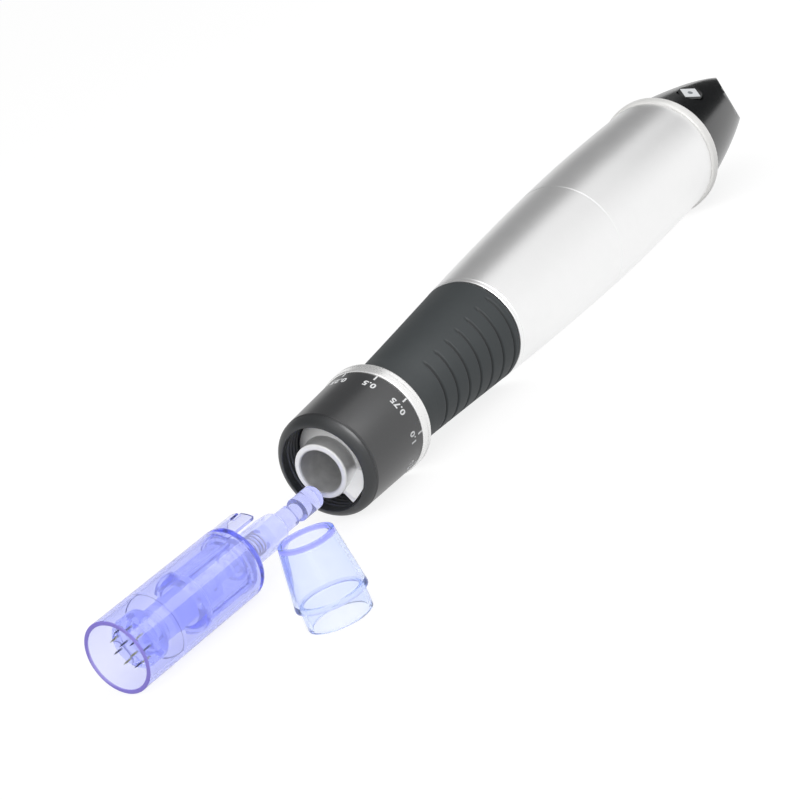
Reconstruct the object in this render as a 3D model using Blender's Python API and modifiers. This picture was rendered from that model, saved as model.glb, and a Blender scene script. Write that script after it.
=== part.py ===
"""Microneedling pen lying on a table, with its cartridge pulled off and the cartridge's cap beside it.

Pen pieces are drawn in the pen's own frame: Z runs along the pen from the nose to the tail, X is up
and Y points to the side where the cap stands. Angles are taken about Z, from X towards Y.
The cartridge has a frame of the same kind, with Z from its needle end to its drive stem.
"""
import math

import bmesh
import bpy
from mathutils import Matrix, Vector

MM = 0.001

# shared clearances and facets
GAP = 0.3 * MM                  # between pieces that touch or run on each other
OVERRUN = 1.0 * MM              # how far a cut reaches past what it cuts
MERGE = 0.001 * MM
STEPS_LARGE = 40
STEPS_MEDIUM = 24
STEPS_SMALL = 16
CURVE_POINTS = 5                # points along each curved stretch of a turned outline

# depth ring, the numbered dial at the nose
RING_LENGTH = 14.65 * MM
RING_R_FRONT = 9.45 * MM
RING_R_REAR = 9.98 * MM
RING_LIP_PROUD = 1.5 * MM       # the lip's inner edge, in front of where the pen is measured from
RING_LIP_START = 0.35 * MM      # where the outside starts to round over into the lip
RING_LIP_CURVE = 1.2            # fullness of the lip's rounding
RING_LIP_FACETS = 6
RING_MOUTH_R = 7.76 * MM
RING_MOUTH_DEPTH = 9.0 * MM
RING_BORE_R = 8.1 * MM          # behind the mouth
RING_WEB = 1.6 * MM             # inward web that runs on the core

# index collar, the knurled ring behind the dial
COLLAR_WIDTH = 2.35 * MM
COLLAR_R = 10.25 * MM
COLLAR_BEVEL = 0.25 * MM

# nozzle, which takes the cartridge
NOZZLE_PROUD = 2.15 * MM        # past the front of the dial, at the shallowest setting
NOZZLE_R = 5.0 * MM
NOZZLE_BORE_R = 3.88 * MM
NOZZLE_LENGTH = 24.15 * MM
NOZZLE_BEVEL = 0.3 * MM
SHOULDER_AT = 0.8 * MM          # from the dial's front to where the nozzle starts to widen
FLANGE_RECESS = 3.55 * MM       # from the dial's front to the flange's edge
FLANGE_R = 7.38 * MM
FLANGE_THICK = 4.7 * MM
NOZZLE_TRAVEL = 2.25 * MM
POCKET_TURN = math.radians(245)  # where the nozzle's shoulder is cut away for the cartridge's arm
POCKET_SPARE = math.radians(3.3)
POCKET_SKIM = 0.05 * MM
POCKET_STEPS = 11
KEY_PIN_R = 0.75 * MM
KEY_PIN_X = 19.5 * MM
KEY_PIN_REACH = 0.7 * MM        # into the nozzle's slot
KEY_ANGLES = (math.pi / 2, -math.pi / 2)

# core, the inner tube that carries the nose end
CORE_NOSE_R = 6.9 * MM
CLIP_THICK = 0.6 * MM
CLIP_OUTER_R = 7.7 * MM
CLIP_GROOVE_R = 6.1 * MM
SEAL_WIRE_R = 0.4 * MM
SEAL_FACETS = 8
SEAL_X = 15.5 * MM
CORE_SPIGOT = 7.5 * MM          # into the front barrel
CORE_SPIGOT_WALL = 1.9 * MM
CORE_REAR_BORE_R = 6.0 * MM
GUIDE_WEB = 1.7 * MM
GUIDE_WEB_BORE_R = 3.2 * MM

# rubber grip
GRIP_LENGTH = 33.05 * MM
GRIP_R_FRONT = 8.55 * MM
GRIP_R_WAIST = 8.38 * MM
GRIP_R_REAR = 10.15 * MM
GRIP_WAIST_AT = 6.0 * MM        # from the grip's front
GRIP_FLARE = 1.05               # curve of the flare behind the waist
GRIP_WALL = 1.15 * MM
GROOVE_COUNT = 7
GROOVE_FIRST = 8.5 * MM         # from the grip's front
GROOVE_LAST = 1.8 * MM          # from the grip's rear
GROOVE_WIDTH = 0.55 * MM
GROOVE_DEPTH = 0.45 * MM
GROOVE_START = math.radians(49.5)  # from the top, on both sides; the grooves pass underneath
GROOVE_STEPS = 29               # half a facet out of line with the sleeve

# aluminium barrel in two halves
BARREL_R_FRONT = 10.2 * MM
BARREL_R_BULGE = 12.4 * MM
BARREL_SWELL = 1.6              # curve of the swell behind the grip
BARREL_R_REAR = 12.05 * MM
FRONT_BARREL_LENGTH = 38.7 * MM
REAR_BARREL_LENGTH = 42.55 * MM
BULGE_AT = 16.55 * MM           # from the seam
BARREL_BORE_R = 9.5 * MM
COUPLING_LENGTH = 6.5 * MM
COUPLING_R = 10.2 * MM
COUPLING_WALL = 0.9 * MM
BARREL_EDGE = 0.2 * MM
REST_SAMPLES = 200              # places tried for the barrel's touch on the table

# bright ring between the barrel and the tail
RIM_GAP = 0.5 * MM
RIM_WIDTH = 2.4 * MM
RIM_R = 12.6 * MM
RIM_ROUND = 0.45 * MM

# tail cap, a rounded dome cut off by a slanted face
TAIL_LENGTH = 37.6 * MM
TAIL_R = 11.55 * MM
TAIL_FULLNESS = 1.04
TAIL_WALL = 1.3 * MM
TAIL_SPIGOT = 7.5 * MM
TAIL_SPIGOT_WALL = 1.3 * MM
TAIL_CUT_SHARE = 0.896          # of the dome's length, where the slanted face meets the pen's axis
TAIL_CUT_LEAN = math.radians(59.3)   # between the face's normal and the pen's axis
TAIL_CUT_TURN = math.radians(79.5)   # about the pen's axis

# power inlet in the slanted face
INLET_SHARE = 0.173             # of the dome's length, down the slope from the pen's axis
INLET_BODY_R = 3.1 * MM
INLET_BODY_LENGTH = 6.0 * MM
INLET_BUSH_R = 2.6 * MM
INLET_BUSH_PROUD = 0.2 * MM
INLET_BORE_R = 1.9 * MM
INLET_BORE_DEPTH = 6.5 * MM
INLET_PIN_R = 0.65 * MM
INLET_PIN_BACK = 0.8 * MM

# power button and its switch
BUTTON_TURN = math.radians(34)
BUTTON_AT = 9.6 * MM            # from the dome's base
BUTTON_HALF_LONG = 2.6 * MM     # along the pen
BUTTON_HALF_WIDE = 2.5 * MM     # around the pen
BUTTON_PROUD = 0.35 * MM
BUTTON_TRAVEL = 0.5 * MM
BUTTON_FLANGE = 0.7 * MM
BUTTON_FLANGE_THICK = 0.8 * MM
SWITCH_SIDE = 5.0 * MM
SWITCH_HEIGHT = 2.2 * MM
SWITCH_STEM_R = 1.2 * MM

# control board and its carrier
BOARD_THICK = 1.2 * MM
BOARD_WIDTH = 12.0 * MM
BOARD_LENGTH = 42.0 * MM
CARRIER_THICK = 2.0 * MM
CARRIER_AT = 0.9 * MM           # behind the motor's end bell
JAW_LENGTH = 3.5 * MM
JAW_WIDTH = 8.0 * MM
JAW_THICK = 1.4 * MM

# motor
MOTOR_R = 8.0 * MM
MOTOR_LENGTH = 34.0 * MM
MOTOR_WALL = 0.8 * MM
MOTOR_FACE = 1.2 * MM
BELL_THICK = 2.0 * MM
BELL_SPIGOT = 1.8 * MM
SHAFT_R = 1.0 * MM
SHAFT_PROUD = 9.6 * MM          # in front of the motor's face
ARMATURE_R = 5.0 * MM
ARMATURE_LENGTH = 21.0 * MM
ARMATURE_AT = 6.7 * MM          # behind the motor's face
MAGNET_THICK = 1.4 * MM
MAGNET_HALF_ANGLE = math.radians(62)
CUSHION_WIDTH = 3.0 * MM
CUSHION_AT = 28.7 * MM          # behind the motor's face
MOUNT_AT = 8.0 * MM             # behind the core's spigot
MOUNT_THICK = 3.0 * MM
MOUNT_BOSS_R = 2.6 * MM
SCREW_PITCH_R = 5.0 * MM
SCREW_R = 0.8 * MM
SCREW_HEAD_R = 1.4 * MM
SCREW_HEAD_HEIGHT = 1.1 * MM
SCREW_BITE = 0.9 * MM
SCREW_ANGLES = (math.pi / 2, -math.pi / 2)

# oblique cam on the motor shaft
CAM_R = 5.6 * MM
CAM_MEAN_LENGTH = 4.8 * MM
CAM_BEHIND = 0.6 * MM           # in front of the screw heads
STROKE = 2.5 * MM
FOLLOWER_OFFSET = 4.3 * MM
FOLLOWER_R = 1.0 * MM
GRUB_R = 0.8 * MM
GRUB_LENGTH = 3.2 * MM

# drive rod
ROD_R = 1.5 * MM
ROD_TIP_R = 2.4 * MM
ROD_TIP_LENGTH = 5.5 * MM
ROD_TIP_WALL = 3.0 * MM
ROD_TIP_BACK = 19.15 * MM       # from the nozzle's mouth
FOOT_HUB_R = 3.0 * MM
FOOT_HUB_LENGTH = 3.5 * MM
FOOT_THICK = 1.5 * MM
FOOT_R = 5.5 * MM
ROD_SEAT = 4.2 * MM             # depth of the rod's hole in its foot
BUSH_LENGTH = 6.3 * MM
BUSH_R = 4.9 * MM
BUSH_FLANGE_R = 5.6 * MM
BUSH_FLANGE = 1.0 * MM
ROD_SPRING_R = 2.6 * MM
ROD_SPRING_WIRE = 0.3 * MM
ROD_SPRING_TURNS = 7

# cartridge
SHELL_R = 6.3 * MM
SHELL_WALL = 0.7 * MM
SHELL_LENGTH = 30.1 * MM
SHELL_BACK = 1.0 * MM
SHELL_ROUND = 1.3 * MM          # rounding of the closed end
ARM_LENGTH = 4.6 * MM
ARM_HALF_ANGLE = math.radians(46)
ARM_TURN = math.radians(-14)
ARM_WALL = 0.85 * MM
ARM_SLOT_WIDTH = 0.7 * MM
ARM_SLOT_LENGTH = 2.1 * MM
ARM_SLOT_TURN = math.radians(18)
NECK_R = 2.97 * MM
NECK_WALL = 0.6 * MM
NECK_END = 40.9 * MM            # from the shell's front
COLLET_R = 5.1 * MM
COLLET_THICK = 1.3 * MM
GUIDE_FRONT = 15.5 * MM         # from the shell's front
GUIDE_R = 4.4 * MM
GUIDE_WALL = 0.8 * MM
STEM_R = 1.35 * MM
STEM_COLLAR_R = 1.9 * MM
STEM_COLLAR_AT = 36.6 * MM      # inside the neck, where the spring ends
STEM_COLLAR_LENGTH = 8.7 * MM
STEM_NOTCH = 1.6 * MM
STEM_KNOB_R = 2.1 * MM
STEM_KNOB_LENGTH = 5.0 * MM
STEM_BEVEL = 0.3 * MM
CARRIER_BODY_R = 3.0 * MM
CARRIER_BODY_REST = 3.0 * MM      # what stays in the guide with the needles out
NEEDLE_FACE = 4.0 * MM          # head's face, from the shell's front
NEEDLE_LENGTH = 2.1 * MM
NEEDLE_R = 0.16 * MM
NEEDLE_TIP_R = 0.03 * MM
HEAD_R = 4.35 * MM
HEAD_LENGTH = 4.6 * MM
HEAD_STEP_R = 3.2 * MM
HEAD_STEP = 1.6 * MM
HEAD_BEVEL = 0.25 * MM
NEEDLE_COUNTS = (9, 3)          # in the outer and the inner ring
NEEDLE_RING_R = (3.1 * MM, 1.3 * MM)
NEEDLE_SIDES = 6
NEEDLE_TRAVEL = 3.9 * MM
CART_SPRING_R = 1.9 * MM
CART_SPRING_WIRE = 0.15 * MM
CART_SPRING_TURNS = 9

# cartridge cap
CAP_HEIGHT = 13.7 * MM
CAP_COLLAR = 3.4 * MM
CAP_COLLAR_R = 5.25 * MM
CAP_STEP_R = 5.9 * MM
CAP_TOP_R = 4.5 * MM
CAP_WALL = 0.7 * MM

# where the loose pieces lie, from the point under the front of the dial
CARTRIDGE_AT = (-55.3 * MM, 5.65 * MM)
CARTRIDGE_YAW = math.radians(-3.7)
CAP_AT = (-38.0 * MM, -23.5 * MM)

# places along the pen that follow from the sizes
collarX = RING_LENGTH + GAP
gripX = collarX + COLLAR_WIDTH + GAP
frontBarrelX = gripX + GRIP_LENGTH + GAP
seamX = frontBarrelX + FRONT_BARREL_LENGTH
rearBarrelX = seamX + GAP
bulgeX = seamX + BULGE_AT
rearBarrelEnd = rearBarrelX + REAR_BARREL_LENGTH
rimX = rearBarrelEnd + RIM_GAP
tailX = rimX + RIM_WIDTH + GAP
coreBoreR = NOZZLE_R + GAP
clipX = RING_LENGTH - RING_WEB - GAP - CLIP_THICK
coreX = clipX - 2 * GAP - CLIP_THICK / 2
nozzleEnd = NOZZLE_LENGTH - NOZZLE_PROUD
guideWebX = nozzleEnd + NOZZLE_TRAVEL + 2 * GAP
bushX = guideWebX + GUIDE_WEB + GAP
bushEnd = bushX + BUSH_LENGTH + BUSH_FLANGE
spigotR = BARREL_BORE_R - GAP
spigotEnd = frontBarrelX + CORE_SPIGOT
mountX = spigotEnd + MOUNT_AT
motorX = mountX + MOUNT_THICK + GAP
motorEnd = motorX + MOTOR_LENGTH
bellEnd = motorEnd + GAP + BELL_THICK
carrierX = bellEnd + CARRIER_AT
boardX = carrierX + CARRIER_THICK + GAP
shaftX = motorX - SHAFT_PROUD
camEnd = mountX - SCREW_HEAD_HEIGHT - 2 * GAP - CAM_BEHIND
camFaceX = camEnd - CAM_MEAN_LENGTH
camSlope = STROKE / (2 * FOLLOWER_OFFSET)
followerTip = camFaceX - camSlope * (FOLLOWER_OFFSET + FOLLOWER_R) - GAP
footEnd = followerTip - FOOT_THICK
footX = footEnd - FOOT_THICK
hubX = footX - FOOT_HUB_LENGTH
rodTipX = ROD_TIP_BACK - NOZZLE_PROUD
rodX = rodTipX + ROD_TIP_WALL + GAP
rodEnd = hubX + ROD_SEAT
boardHeight = 2 * GAP + BOARD_THICK
switchBase = boardHeight + BOARD_THICK + GAP
switchTop = switchBase + SWITCH_HEIGHT
buttonX = tailX + BUTTON_AT


def barrel_radius(along):
    """Outer radius of the barrel: a slow swell up to the bulge, then a slight fall to the rear."""
    if along < bulgeX:
        share = (bulgeX - along) / (bulgeX - frontBarrelX)
        return BARREL_R_BULGE - (BARREL_R_BULGE - BARREL_R_FRONT) * share**BARREL_SWELL
    share = (along - bulgeX) / (rearBarrelEnd - bulgeX)
    return BARREL_R_BULGE - (BARREL_R_BULGE - BARREL_R_REAR) * share * share


# the pen lies on its collar and on the barrel's swell, where a line from the collar touches it
barrelSpan = rearBarrelEnd - frontBarrelX
barrelPlaces = [frontBarrelX + barrelSpan * i / REST_SAMPLES for i in range(1, REST_SAMPLES)]
penTilt = math.atan(max((barrel_radius(x) - COLLAR_R) / (x - collarX) for x in barrelPlaces))
penHeight = COLLAR_R * math.cos(penTilt) - collarX * math.sin(penTilt)


def collection(name):
    made = bpy.data.collections.new(name)
    bpy.context.scene.collection.children.link(made)
    return made


for old in list(bpy.data.objects):
    bpy.data.objects.remove(old, do_unlink=True)

partsCollection = collection("microneedling_pen")
cuttersCollection = collection("cutters")


def material(name, colour, roughness, metallic=0.0, alpha=1.0):
    made = bpy.data.materials.new(name)
    made.use_nodes = True
    shader = made.node_tree.nodes["Principled BSDF"]
    shader.inputs["Base Color"].default_value = (*colour, 1.0)
    shader.inputs["Roughness"].default_value = roughness
    shader.inputs["Metallic"].default_value = metallic
    shader.inputs["Alpha"].default_value = alpha
    made.diffuse_color = (*colour, alpha)
    return made


BLACK_ANODISED = material("black_anodised", (0.035, 0.037, 0.042), 0.32, 0.6)
BLACK_GLOSS = material("black_gloss", (0.02, 0.021, 0.024), 0.12)
BLACK_PLASTIC = material("black_plastic", (0.03, 0.03, 0.033), 0.5)
GRIP_RUBBER = material("grip_rubber", (0.06, 0.072, 0.08), 0.6)
SATIN_ALUMINIUM = material("satin_aluminium", (0.72, 0.72, 0.73), 0.32, 1.0)
BRIGHT_ALUMINIUM = material("bright_aluminium", (0.86, 0.86, 0.87), 0.18, 1.0)
BRUSHED_STEEL = material("brushed_steel", (0.6, 0.6, 0.61), 0.3, 1.0)
SPRING_STEEL = material("spring_steel", (0.36, 0.34, 0.32), 0.35, 1.0)
BRASS = material("brass", (0.72, 0.55, 0.25), 0.3, 1.0)
SOFT_RUBBER = material("soft_rubber", (0.02, 0.02, 0.02), 0.8)
MAGNET_GREY = material("magnet_grey", (0.12, 0.12, 0.13), 0.6)
COPPER = material("copper", (0.72, 0.38, 0.22), 0.4, 1.0)
BOARD_GREEN = material("board_green", (0.04, 0.2, 0.09), 0.5)
WHITE_PLASTIC = material("white_plastic", (0.85, 0.86, 0.88), 0.35)
BLUE_CLEAR = material("blue_clear", (0.55, 0.6, 1.0), 0.15, 0.0, 0.45)
VIOLET_CLEAR = material("violet_clear", (0.4, 0.42, 0.95), 0.2, 0.0, 0.6)
PALE_CLEAR = material("pale_clear", (0.8, 0.88, 1.0), 0.12, 0.0, 0.35)


def place(obj, parent, mat=None, cutter=False):
    """Put an object in its collection, under its parent, with its material."""
    (cuttersCollection if cutter else partsCollection).objects.link(obj)
    obj.parent = parent
    if cutter:
        obj.hide_render = True
        obj.display_type = "WIRE"
    elif mat is not None:
        obj.data.materials.append(mat)
    return obj


def guide(name, parent=None, matrix=None):
    """An empty that carries a group of pieces."""
    empty = bpy.data.objects.new(name, None)
    partsCollection.objects.link(empty)
    empty.parent = parent
    if matrix is not None:
        empty.matrix_local = matrix
    return empty


def turned(name, outline, parent, mat=None, steps=STEPS_LARGE, cutter=False):
    """Turn an outline of (radius, place along Z) about Z.

    The outline runs down the outer side and up the inner side. It starts and ends on the axis,
    or closes on itself where no point is on the axis.
    """
    shape = bmesh.new()
    points = [shape.verts.new((radius, 0, along)) for radius, along in outline]
    pairs = list(zip(points, points[1:]))
    if outline[0][0] > 0 and outline[-1][0] > 0:
        pairs.append((points[-1], points[0]))
    for first, second in pairs:
        shape.edges.new((first, second))
    mesh = bpy.data.meshes.new(name)
    shape.to_mesh(mesh)
    shape.free()
    obj = place(bpy.data.objects.new(name, mesh), parent, mat, cutter)
    screw = obj.modifiers.new("turn", "SCREW")
    screw.axis = "Z"
    screw.angle = math.tau
    screw.steps = steps
    screw.render_steps = steps
    screw.use_merge_vertices = True
    screw.merge_threshold = MERGE
    return obj


def tube(name, outerR, innerR, low, high, parent, mat=None, steps=STEPS_MEDIUM, cutter=False):
    outline = [(outerR, high), (outerR, low), (innerR, low), (innerR, high)]
    return turned(name, outline, parent, mat, steps, cutter)


def rod(name, radius, low, high, parent, mat=None, steps=STEPS_SMALL, cutter=False):
    outline = [(0, high), (radius, high), (radius, low), (0, low)]
    return turned(name, outline, parent, mat, steps, cutter)


def block(name, low, high, parent, mat=None, cutter=False):
    """A box between two corners."""
    size = [b - a for a, b in zip(low, high)]
    middle = [(a + b) / 2 for a, b in zip(low, high)]
    shape = bmesh.new()
    bmesh.ops.create_cube(shape, size=1, matrix=Matrix.Translation(middle) @ Matrix.Diagonal((*size, 1)))
    mesh = bpy.data.meshes.new(name)
    shape.to_mesh(mesh)
    shape.free()
    return place(bpy.data.objects.new(name, mesh), parent, mat, cutter)


def cross_pin(name, radius, inner, outer, turn, along, parent, mat=None, cutter=False):
    """A round pin that points away from the axis at an angle about it."""
    obj = rod(name, radius, inner, outer, parent, mat, STEPS_SMALL, cutter)
    turnMatrix = Matrix.Rotation(turn, 4, "Z") @ Matrix.Rotation(math.pi / 2, 4, "Y")
    obj.matrix_local = Matrix.Translation((0, 0, along)) @ turnMatrix
    return obj


def sector(name, innerR, outerR, low, high, middle, halfAngle, parent, mat=None, cutter=False, steps=12):
    """A piece of a tube between two angles."""
    shape = bmesh.new()
    corners = [(innerR, low), (outerR, low), (outerR, high), (innerR, high)]
    start = middle - halfAngle
    verts = [shape.verts.new((r * math.cos(start), r * math.sin(start), z)) for r, z in corners]
    face = shape.faces.new(verts)
    bmesh.ops.spin(shape, geom=[face], cent=(0, 0, 0), axis=(0, 0, 1), angle=2 * halfAngle, steps=steps)
    bmesh.ops.recalc_face_normals(shape, faces=shape.faces)
    mesh = bpy.data.meshes.new(name)
    shape.to_mesh(mesh)
    shape.free()
    return place(bpy.data.objects.new(name, mesh), parent, mat, cutter)


def combine(target, tool, operation="DIFFERENCE"):
    """Cut a piece with a cutter, or join the two."""
    boolean = target.modifiers.new(tool.name, "BOOLEAN")
    boolean.operation = operation
    boolean.solver = "EXACT"
    boolean.object = tool
    return target


def coil(name, radius, wire, low, high, turns, parent, mat, pointsPerTurn=9):
    """A spring wound about Z, as one tube; prints its least gap to itself."""
    count = turns * pointsPerTurn
    places = []
    for index in range(count + 1):
        angle = math.tau * index / pointsPerTurn
        along = low + (high - low) * index / count
        places.append(Vector((radius * math.cos(angle), radius * math.sin(angle), along)))
    nearest = min(
        (places[a] - places[b]).length
        for a in range(count + 1)
        for b in range(a + pointsPerTurn - 1, min(a + pointsPerTurn + 2, count + 1))
    )
    print(name, "least gap to itself", round((nearest - 2 * wire) / MM, 3), "mm")
    curve = bpy.data.curves.new(name, "CURVE")
    curve.dimensions = "3D"
    curve.bevel_depth = wire
    curve.bevel_resolution = 1
    curve.use_fill_caps = True
    spline = curve.splines.new("POLY")
    spline.points.add(count)
    for point, where in zip(spline.points, places):
        point.co = (*where, 1)
    path = bpy.data.objects.new(name + "_path", curve)
    partsCollection.objects.link(path)
    mesh = bpy.data.meshes.new_from_object(path.evaluated_get(bpy.context.evaluated_depsgraph_get()))
    bpy.data.objects.remove(path, do_unlink=True)
    shape = bmesh.new()
    shape.from_mesh(mesh)
    bmesh.ops.remove_doubles(shape, verts=shape.verts, dist=MERGE)
    shape.to_mesh(mesh)
    shape.free()
    mesh.name = name
    mesh.materials.clear()
    return place(bpy.data.objects.new(name, mesh), parent, mat)


def curve_stretch(radiusAt, high, low, count=CURVE_POINTS):
    """Points of a curved stretch of an outline, from its high end to its low end."""
    places = [high + (low - high) * i / count for i in range(count + 1)]
    return [(radiusAt(place), place) for place in places]


def corner_arc(centreR, centreZ, radius, start, end, count=3):
    """Points on a rounded corner, between two angles in degrees."""
    angles = [math.radians(start + (end - start) * i / count) for i in range(count + 1)]
    return [(centreR + radius * math.cos(a), centreZ + radius * math.sin(a)) for a in angles]


# carriers
assemblyOrigin = guide("assembly_origin")
penAxis = guide(
    "pen_axis",
    assemblyOrigin,
    Matrix.Translation((0, 0, penHeight))
    @ Matrix(
        (
            (-math.sin(penTilt), 0, math.cos(penTilt), 0),
            (0, -1, 0, 0),
            (math.cos(penTilt), 0, math.sin(penTilt), 0),
            (0, 0, 0, 1),
        )
    ),
)
boardAxis = guide("board_axis", penAxis, Matrix.Rotation(BUTTON_TURN, 4, "Z"))
cartridgeAxis = guide(
    "cartridge_axis",
    assemblyOrigin,
    Matrix.Translation((*CARTRIDGE_AT, SHELL_R))
    @ Matrix(
        (
            (0, math.sin(CARTRIDGE_YAW), math.cos(CARTRIDGE_YAW), 0),
            (0, -math.cos(CARTRIDGE_YAW), math.sin(CARTRIDGE_YAW), 0),
            (1, 0, 0, 0),
            (0, 0, 0, 1),
        )
    ),
)
capAxis = guide("cap_axis", assemblyOrigin, Matrix.Translation((*CAP_AT, 0)))


def depth_ring():
    webInner = CORE_NOSE_R + GAP
    webX = RING_LENGTH - RING_WEB
    lip = []
    for index in range(RING_LIP_FACETS + 1):
        angle = math.pi / 2 * index / RING_LIP_FACETS
        inward = (RING_R_FRONT - RING_MOUTH_R) * abs(math.cos(angle)) ** RING_LIP_CURVE
        forward = (RING_LIP_START + RING_LIP_PROUD) * math.sin(angle) ** RING_LIP_CURVE
        lip.append((RING_MOUTH_R + inward, RING_LIP_START - forward))
    outline = [(RING_R_REAR, RING_LENGTH), *lip]
    outline += [(RING_MOUTH_R, RING_MOUTH_DEPTH), (RING_BORE_R, RING_MOUTH_DEPTH), (RING_BORE_R, webX)]
    outline += [(webInner, webX), (webInner, RING_LENGTH)]
    turned("depth_ring", outline, penAxis, BLACK_ANODISED)


def index_collar():
    inner = CORE_NOSE_R + GAP
    high = collarX + COLLAR_WIDTH
    outline = [
        (COLLAR_R - COLLAR_BEVEL, high),
        (COLLAR_R, high - COLLAR_BEVEL),
        (COLLAR_R, collarX),
        (inner, collarX),
        (inner, high),
    ]
    turned("index_collar", outline, penAxis, BRIGHT_ALUMINIUM)


def nozzle():
    low = -NOZZLE_PROUD
    flangeEnd = FLANGE_RECESS + FLANGE_THICK
    outline = [
        (NOZZLE_R, nozzleEnd),
        (NOZZLE_R, flangeEnd),
        (FLANGE_R, flangeEnd),
        (FLANGE_R, FLANGE_RECESS),
        (NOZZLE_R, SHOULDER_AT),
        (NOZZLE_R, low + NOZZLE_BEVEL),
        (NOZZLE_R - NOZZLE_BEVEL, low),
        (NOZZLE_BORE_R + NOZZLE_BEVEL, low),
        (NOZZLE_BORE_R, low + NOZZLE_BEVEL),
        (NOZZLE_BORE_R, nozzleEnd),
    ]
    body = turned("nozzle", outline, penAxis, BRIGHT_ALUMINIUM, STEPS_LARGE)
    reach = KEY_PIN_R + GAP
    slots = block(
        "nozzle_key_slots",
        (-reach, -NOZZLE_R - OVERRUN, KEY_PIN_X - reach - NOZZLE_TRAVEL),
        (reach, NOZZLE_R + OVERRUN, KEY_PIN_X + reach),
        penAxis,
        cutter=True,
    )
    combine(body, slots)
    pocket = sector(
        "nozzle_arm_pocket",
        NOZZLE_R - POCKET_SKIM,
        FLANGE_R + OVERRUN,
        low + NOZZLE_BEVEL + GAP,
        low + ARM_LENGTH + GAP,
        POCKET_TURN,
        ARM_HALF_ANGLE + POCKET_SPARE,
        penAxis,
        cutter=True,
        steps=POCKET_STEPS,
    )
    combine(body, pocket)


def nozzle_keys():
    inner = NOZZLE_R - KEY_PIN_REACH
    for label, turn in zip(("near", "far"), KEY_ANGLES):
        outer = CORE_NOSE_R - GAP / 2
        cross_pin("key_pin_" + label, KEY_PIN_R, inner, outer, turn, KEY_PIN_X, penAxis, BRUSHED_STEEL)


def grip_radius(along):
    """Outer radius of the grip at a place along the pen."""
    fromFront = along - gripX
    if fromFront < GRIP_WAIST_AT:
        share = 1 - fromFront / GRIP_WAIST_AT
        return GRIP_R_WAIST + (GRIP_R_FRONT - GRIP_R_WAIST) * share * share
    share = (fromFront - GRIP_WAIST_AT) / (GRIP_LENGTH - GRIP_WAIST_AT)
    return GRIP_R_WAIST + (GRIP_R_REAR - GRIP_R_WAIST) * share**GRIP_FLARE


def grip_sleeve():
    span = GRIP_LENGTH - GROOVE_FIRST - GROOVE_LAST
    grooves = [gripX + GROOVE_FIRST + span * i / (GROOVE_COUNT - 1) for i in range(GROOVE_COUNT)]
    places = [gripX, gripX + GRIP_WAIST_AT / 2, gripX + GRIP_WAIST_AT, *grooves, gripX + GRIP_LENGTH]
    outer = [(grip_radius(along), along) for along in sorted(places, reverse=True)]
    inner = [(radius - GRIP_WALL, along) for radius, along in reversed(outer)]
    sleeve = turned("grip_sleeve", outer + inner, penAxis, GRIP_RUBBER)
    for index, along in enumerate(grooves):
        groove = sector(
            "grip_groove_%d" % (index + 1),
            grip_radius(along) - GROOVE_DEPTH,
            GRIP_R_REAR + OVERRUN,
            along - GROOVE_WIDTH / 2,
            along + GROOVE_WIDTH / 2,
            math.pi,
            math.pi - GROOVE_START,
            penAxis,
            cutter=True,
            steps=GROOVE_STEPS,
        )
        combine(sleeve, groove)


def core_outer(along):
    return grip_radius(along) - GRIP_WALL - GAP


def grip_core():
    gripEnd = gripX + GRIP_LENGTH
    clipLow = clipX - GAP
    clipHigh = clipX + CLIP_THICK + GAP
    sealGroove = SEAL_WIRE_R + GAP
    sealFloor = coreBoreR + 2 * SEAL_WIRE_R + GAP
    rearInner = spigotR - CORE_SPIGOT_WALL
    rearStep = gripEnd - GRIP_R_REAR
    outline = [
        (spigotR, spigotEnd),
        (spigotR, gripEnd + GAP),
        (core_outer(gripEnd), gripEnd + GAP),
        *curve_stretch(core_outer, gripEnd, gripX, CURVE_POINTS),
        (CORE_NOSE_R, gripX),
        (CORE_NOSE_R, clipHigh),
        (CLIP_GROOVE_R, clipHigh),
        (CLIP_GROOVE_R, clipLow),
        (CORE_NOSE_R, clipLow),
        (CORE_NOSE_R, coreX),
        (coreBoreR, coreX),
        (coreBoreR, SEAL_X - sealGroove),
        (sealFloor, SEAL_X - sealGroove),
        (sealFloor, SEAL_X + sealGroove),
        (coreBoreR, SEAL_X + sealGroove),
        (coreBoreR, guideWebX),
        (GUIDE_WEB_BORE_R, guideWebX),
        (GUIDE_WEB_BORE_R, guideWebX + GUIDE_WEB),
        (BUSH_R + GAP, guideWebX + GUIDE_WEB),
        (BUSH_R + GAP, bushX + BUSH_LENGTH - GAP),
        (CORE_REAR_BORE_R, bushX + BUSH_LENGTH - GAP),
        (CORE_REAR_BORE_R, rearStep),
        (rearInner, rearStep),
        (rearInner, spigotEnd),
    ]
    core = turned("grip_core", outline, penAxis, BLACK_PLASTIC, STEPS_MEDIUM)
    for label, turn in zip(("near", "far"), KEY_ANGLES):
        hole = cross_pin(
            "core_pin_hole_" + label,
            KEY_PIN_R + GAP,
            coreBoreR - OVERRUN,
            CORE_NOSE_R + OVERRUN,
            turn,
            KEY_PIN_X,
            penAxis,
            cutter=True,
        )
        combine(core, hole)


def nose_hardware():
    tube("ring_clip", CLIP_OUTER_R, CLIP_GROOVE_R + GAP, clipX, clipX + CLIP_THICK, penAxis, BRUSHED_STEEL)
    middle = coreBoreR + SEAL_WIRE_R
    wire = corner_arc(middle, SEAL_X, SEAL_WIRE_R, 360, 0, SEAL_FACETS)[1:]
    turned("nozzle_seal", wire, penAxis, SOFT_RUBBER, STEPS_MEDIUM)


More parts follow.
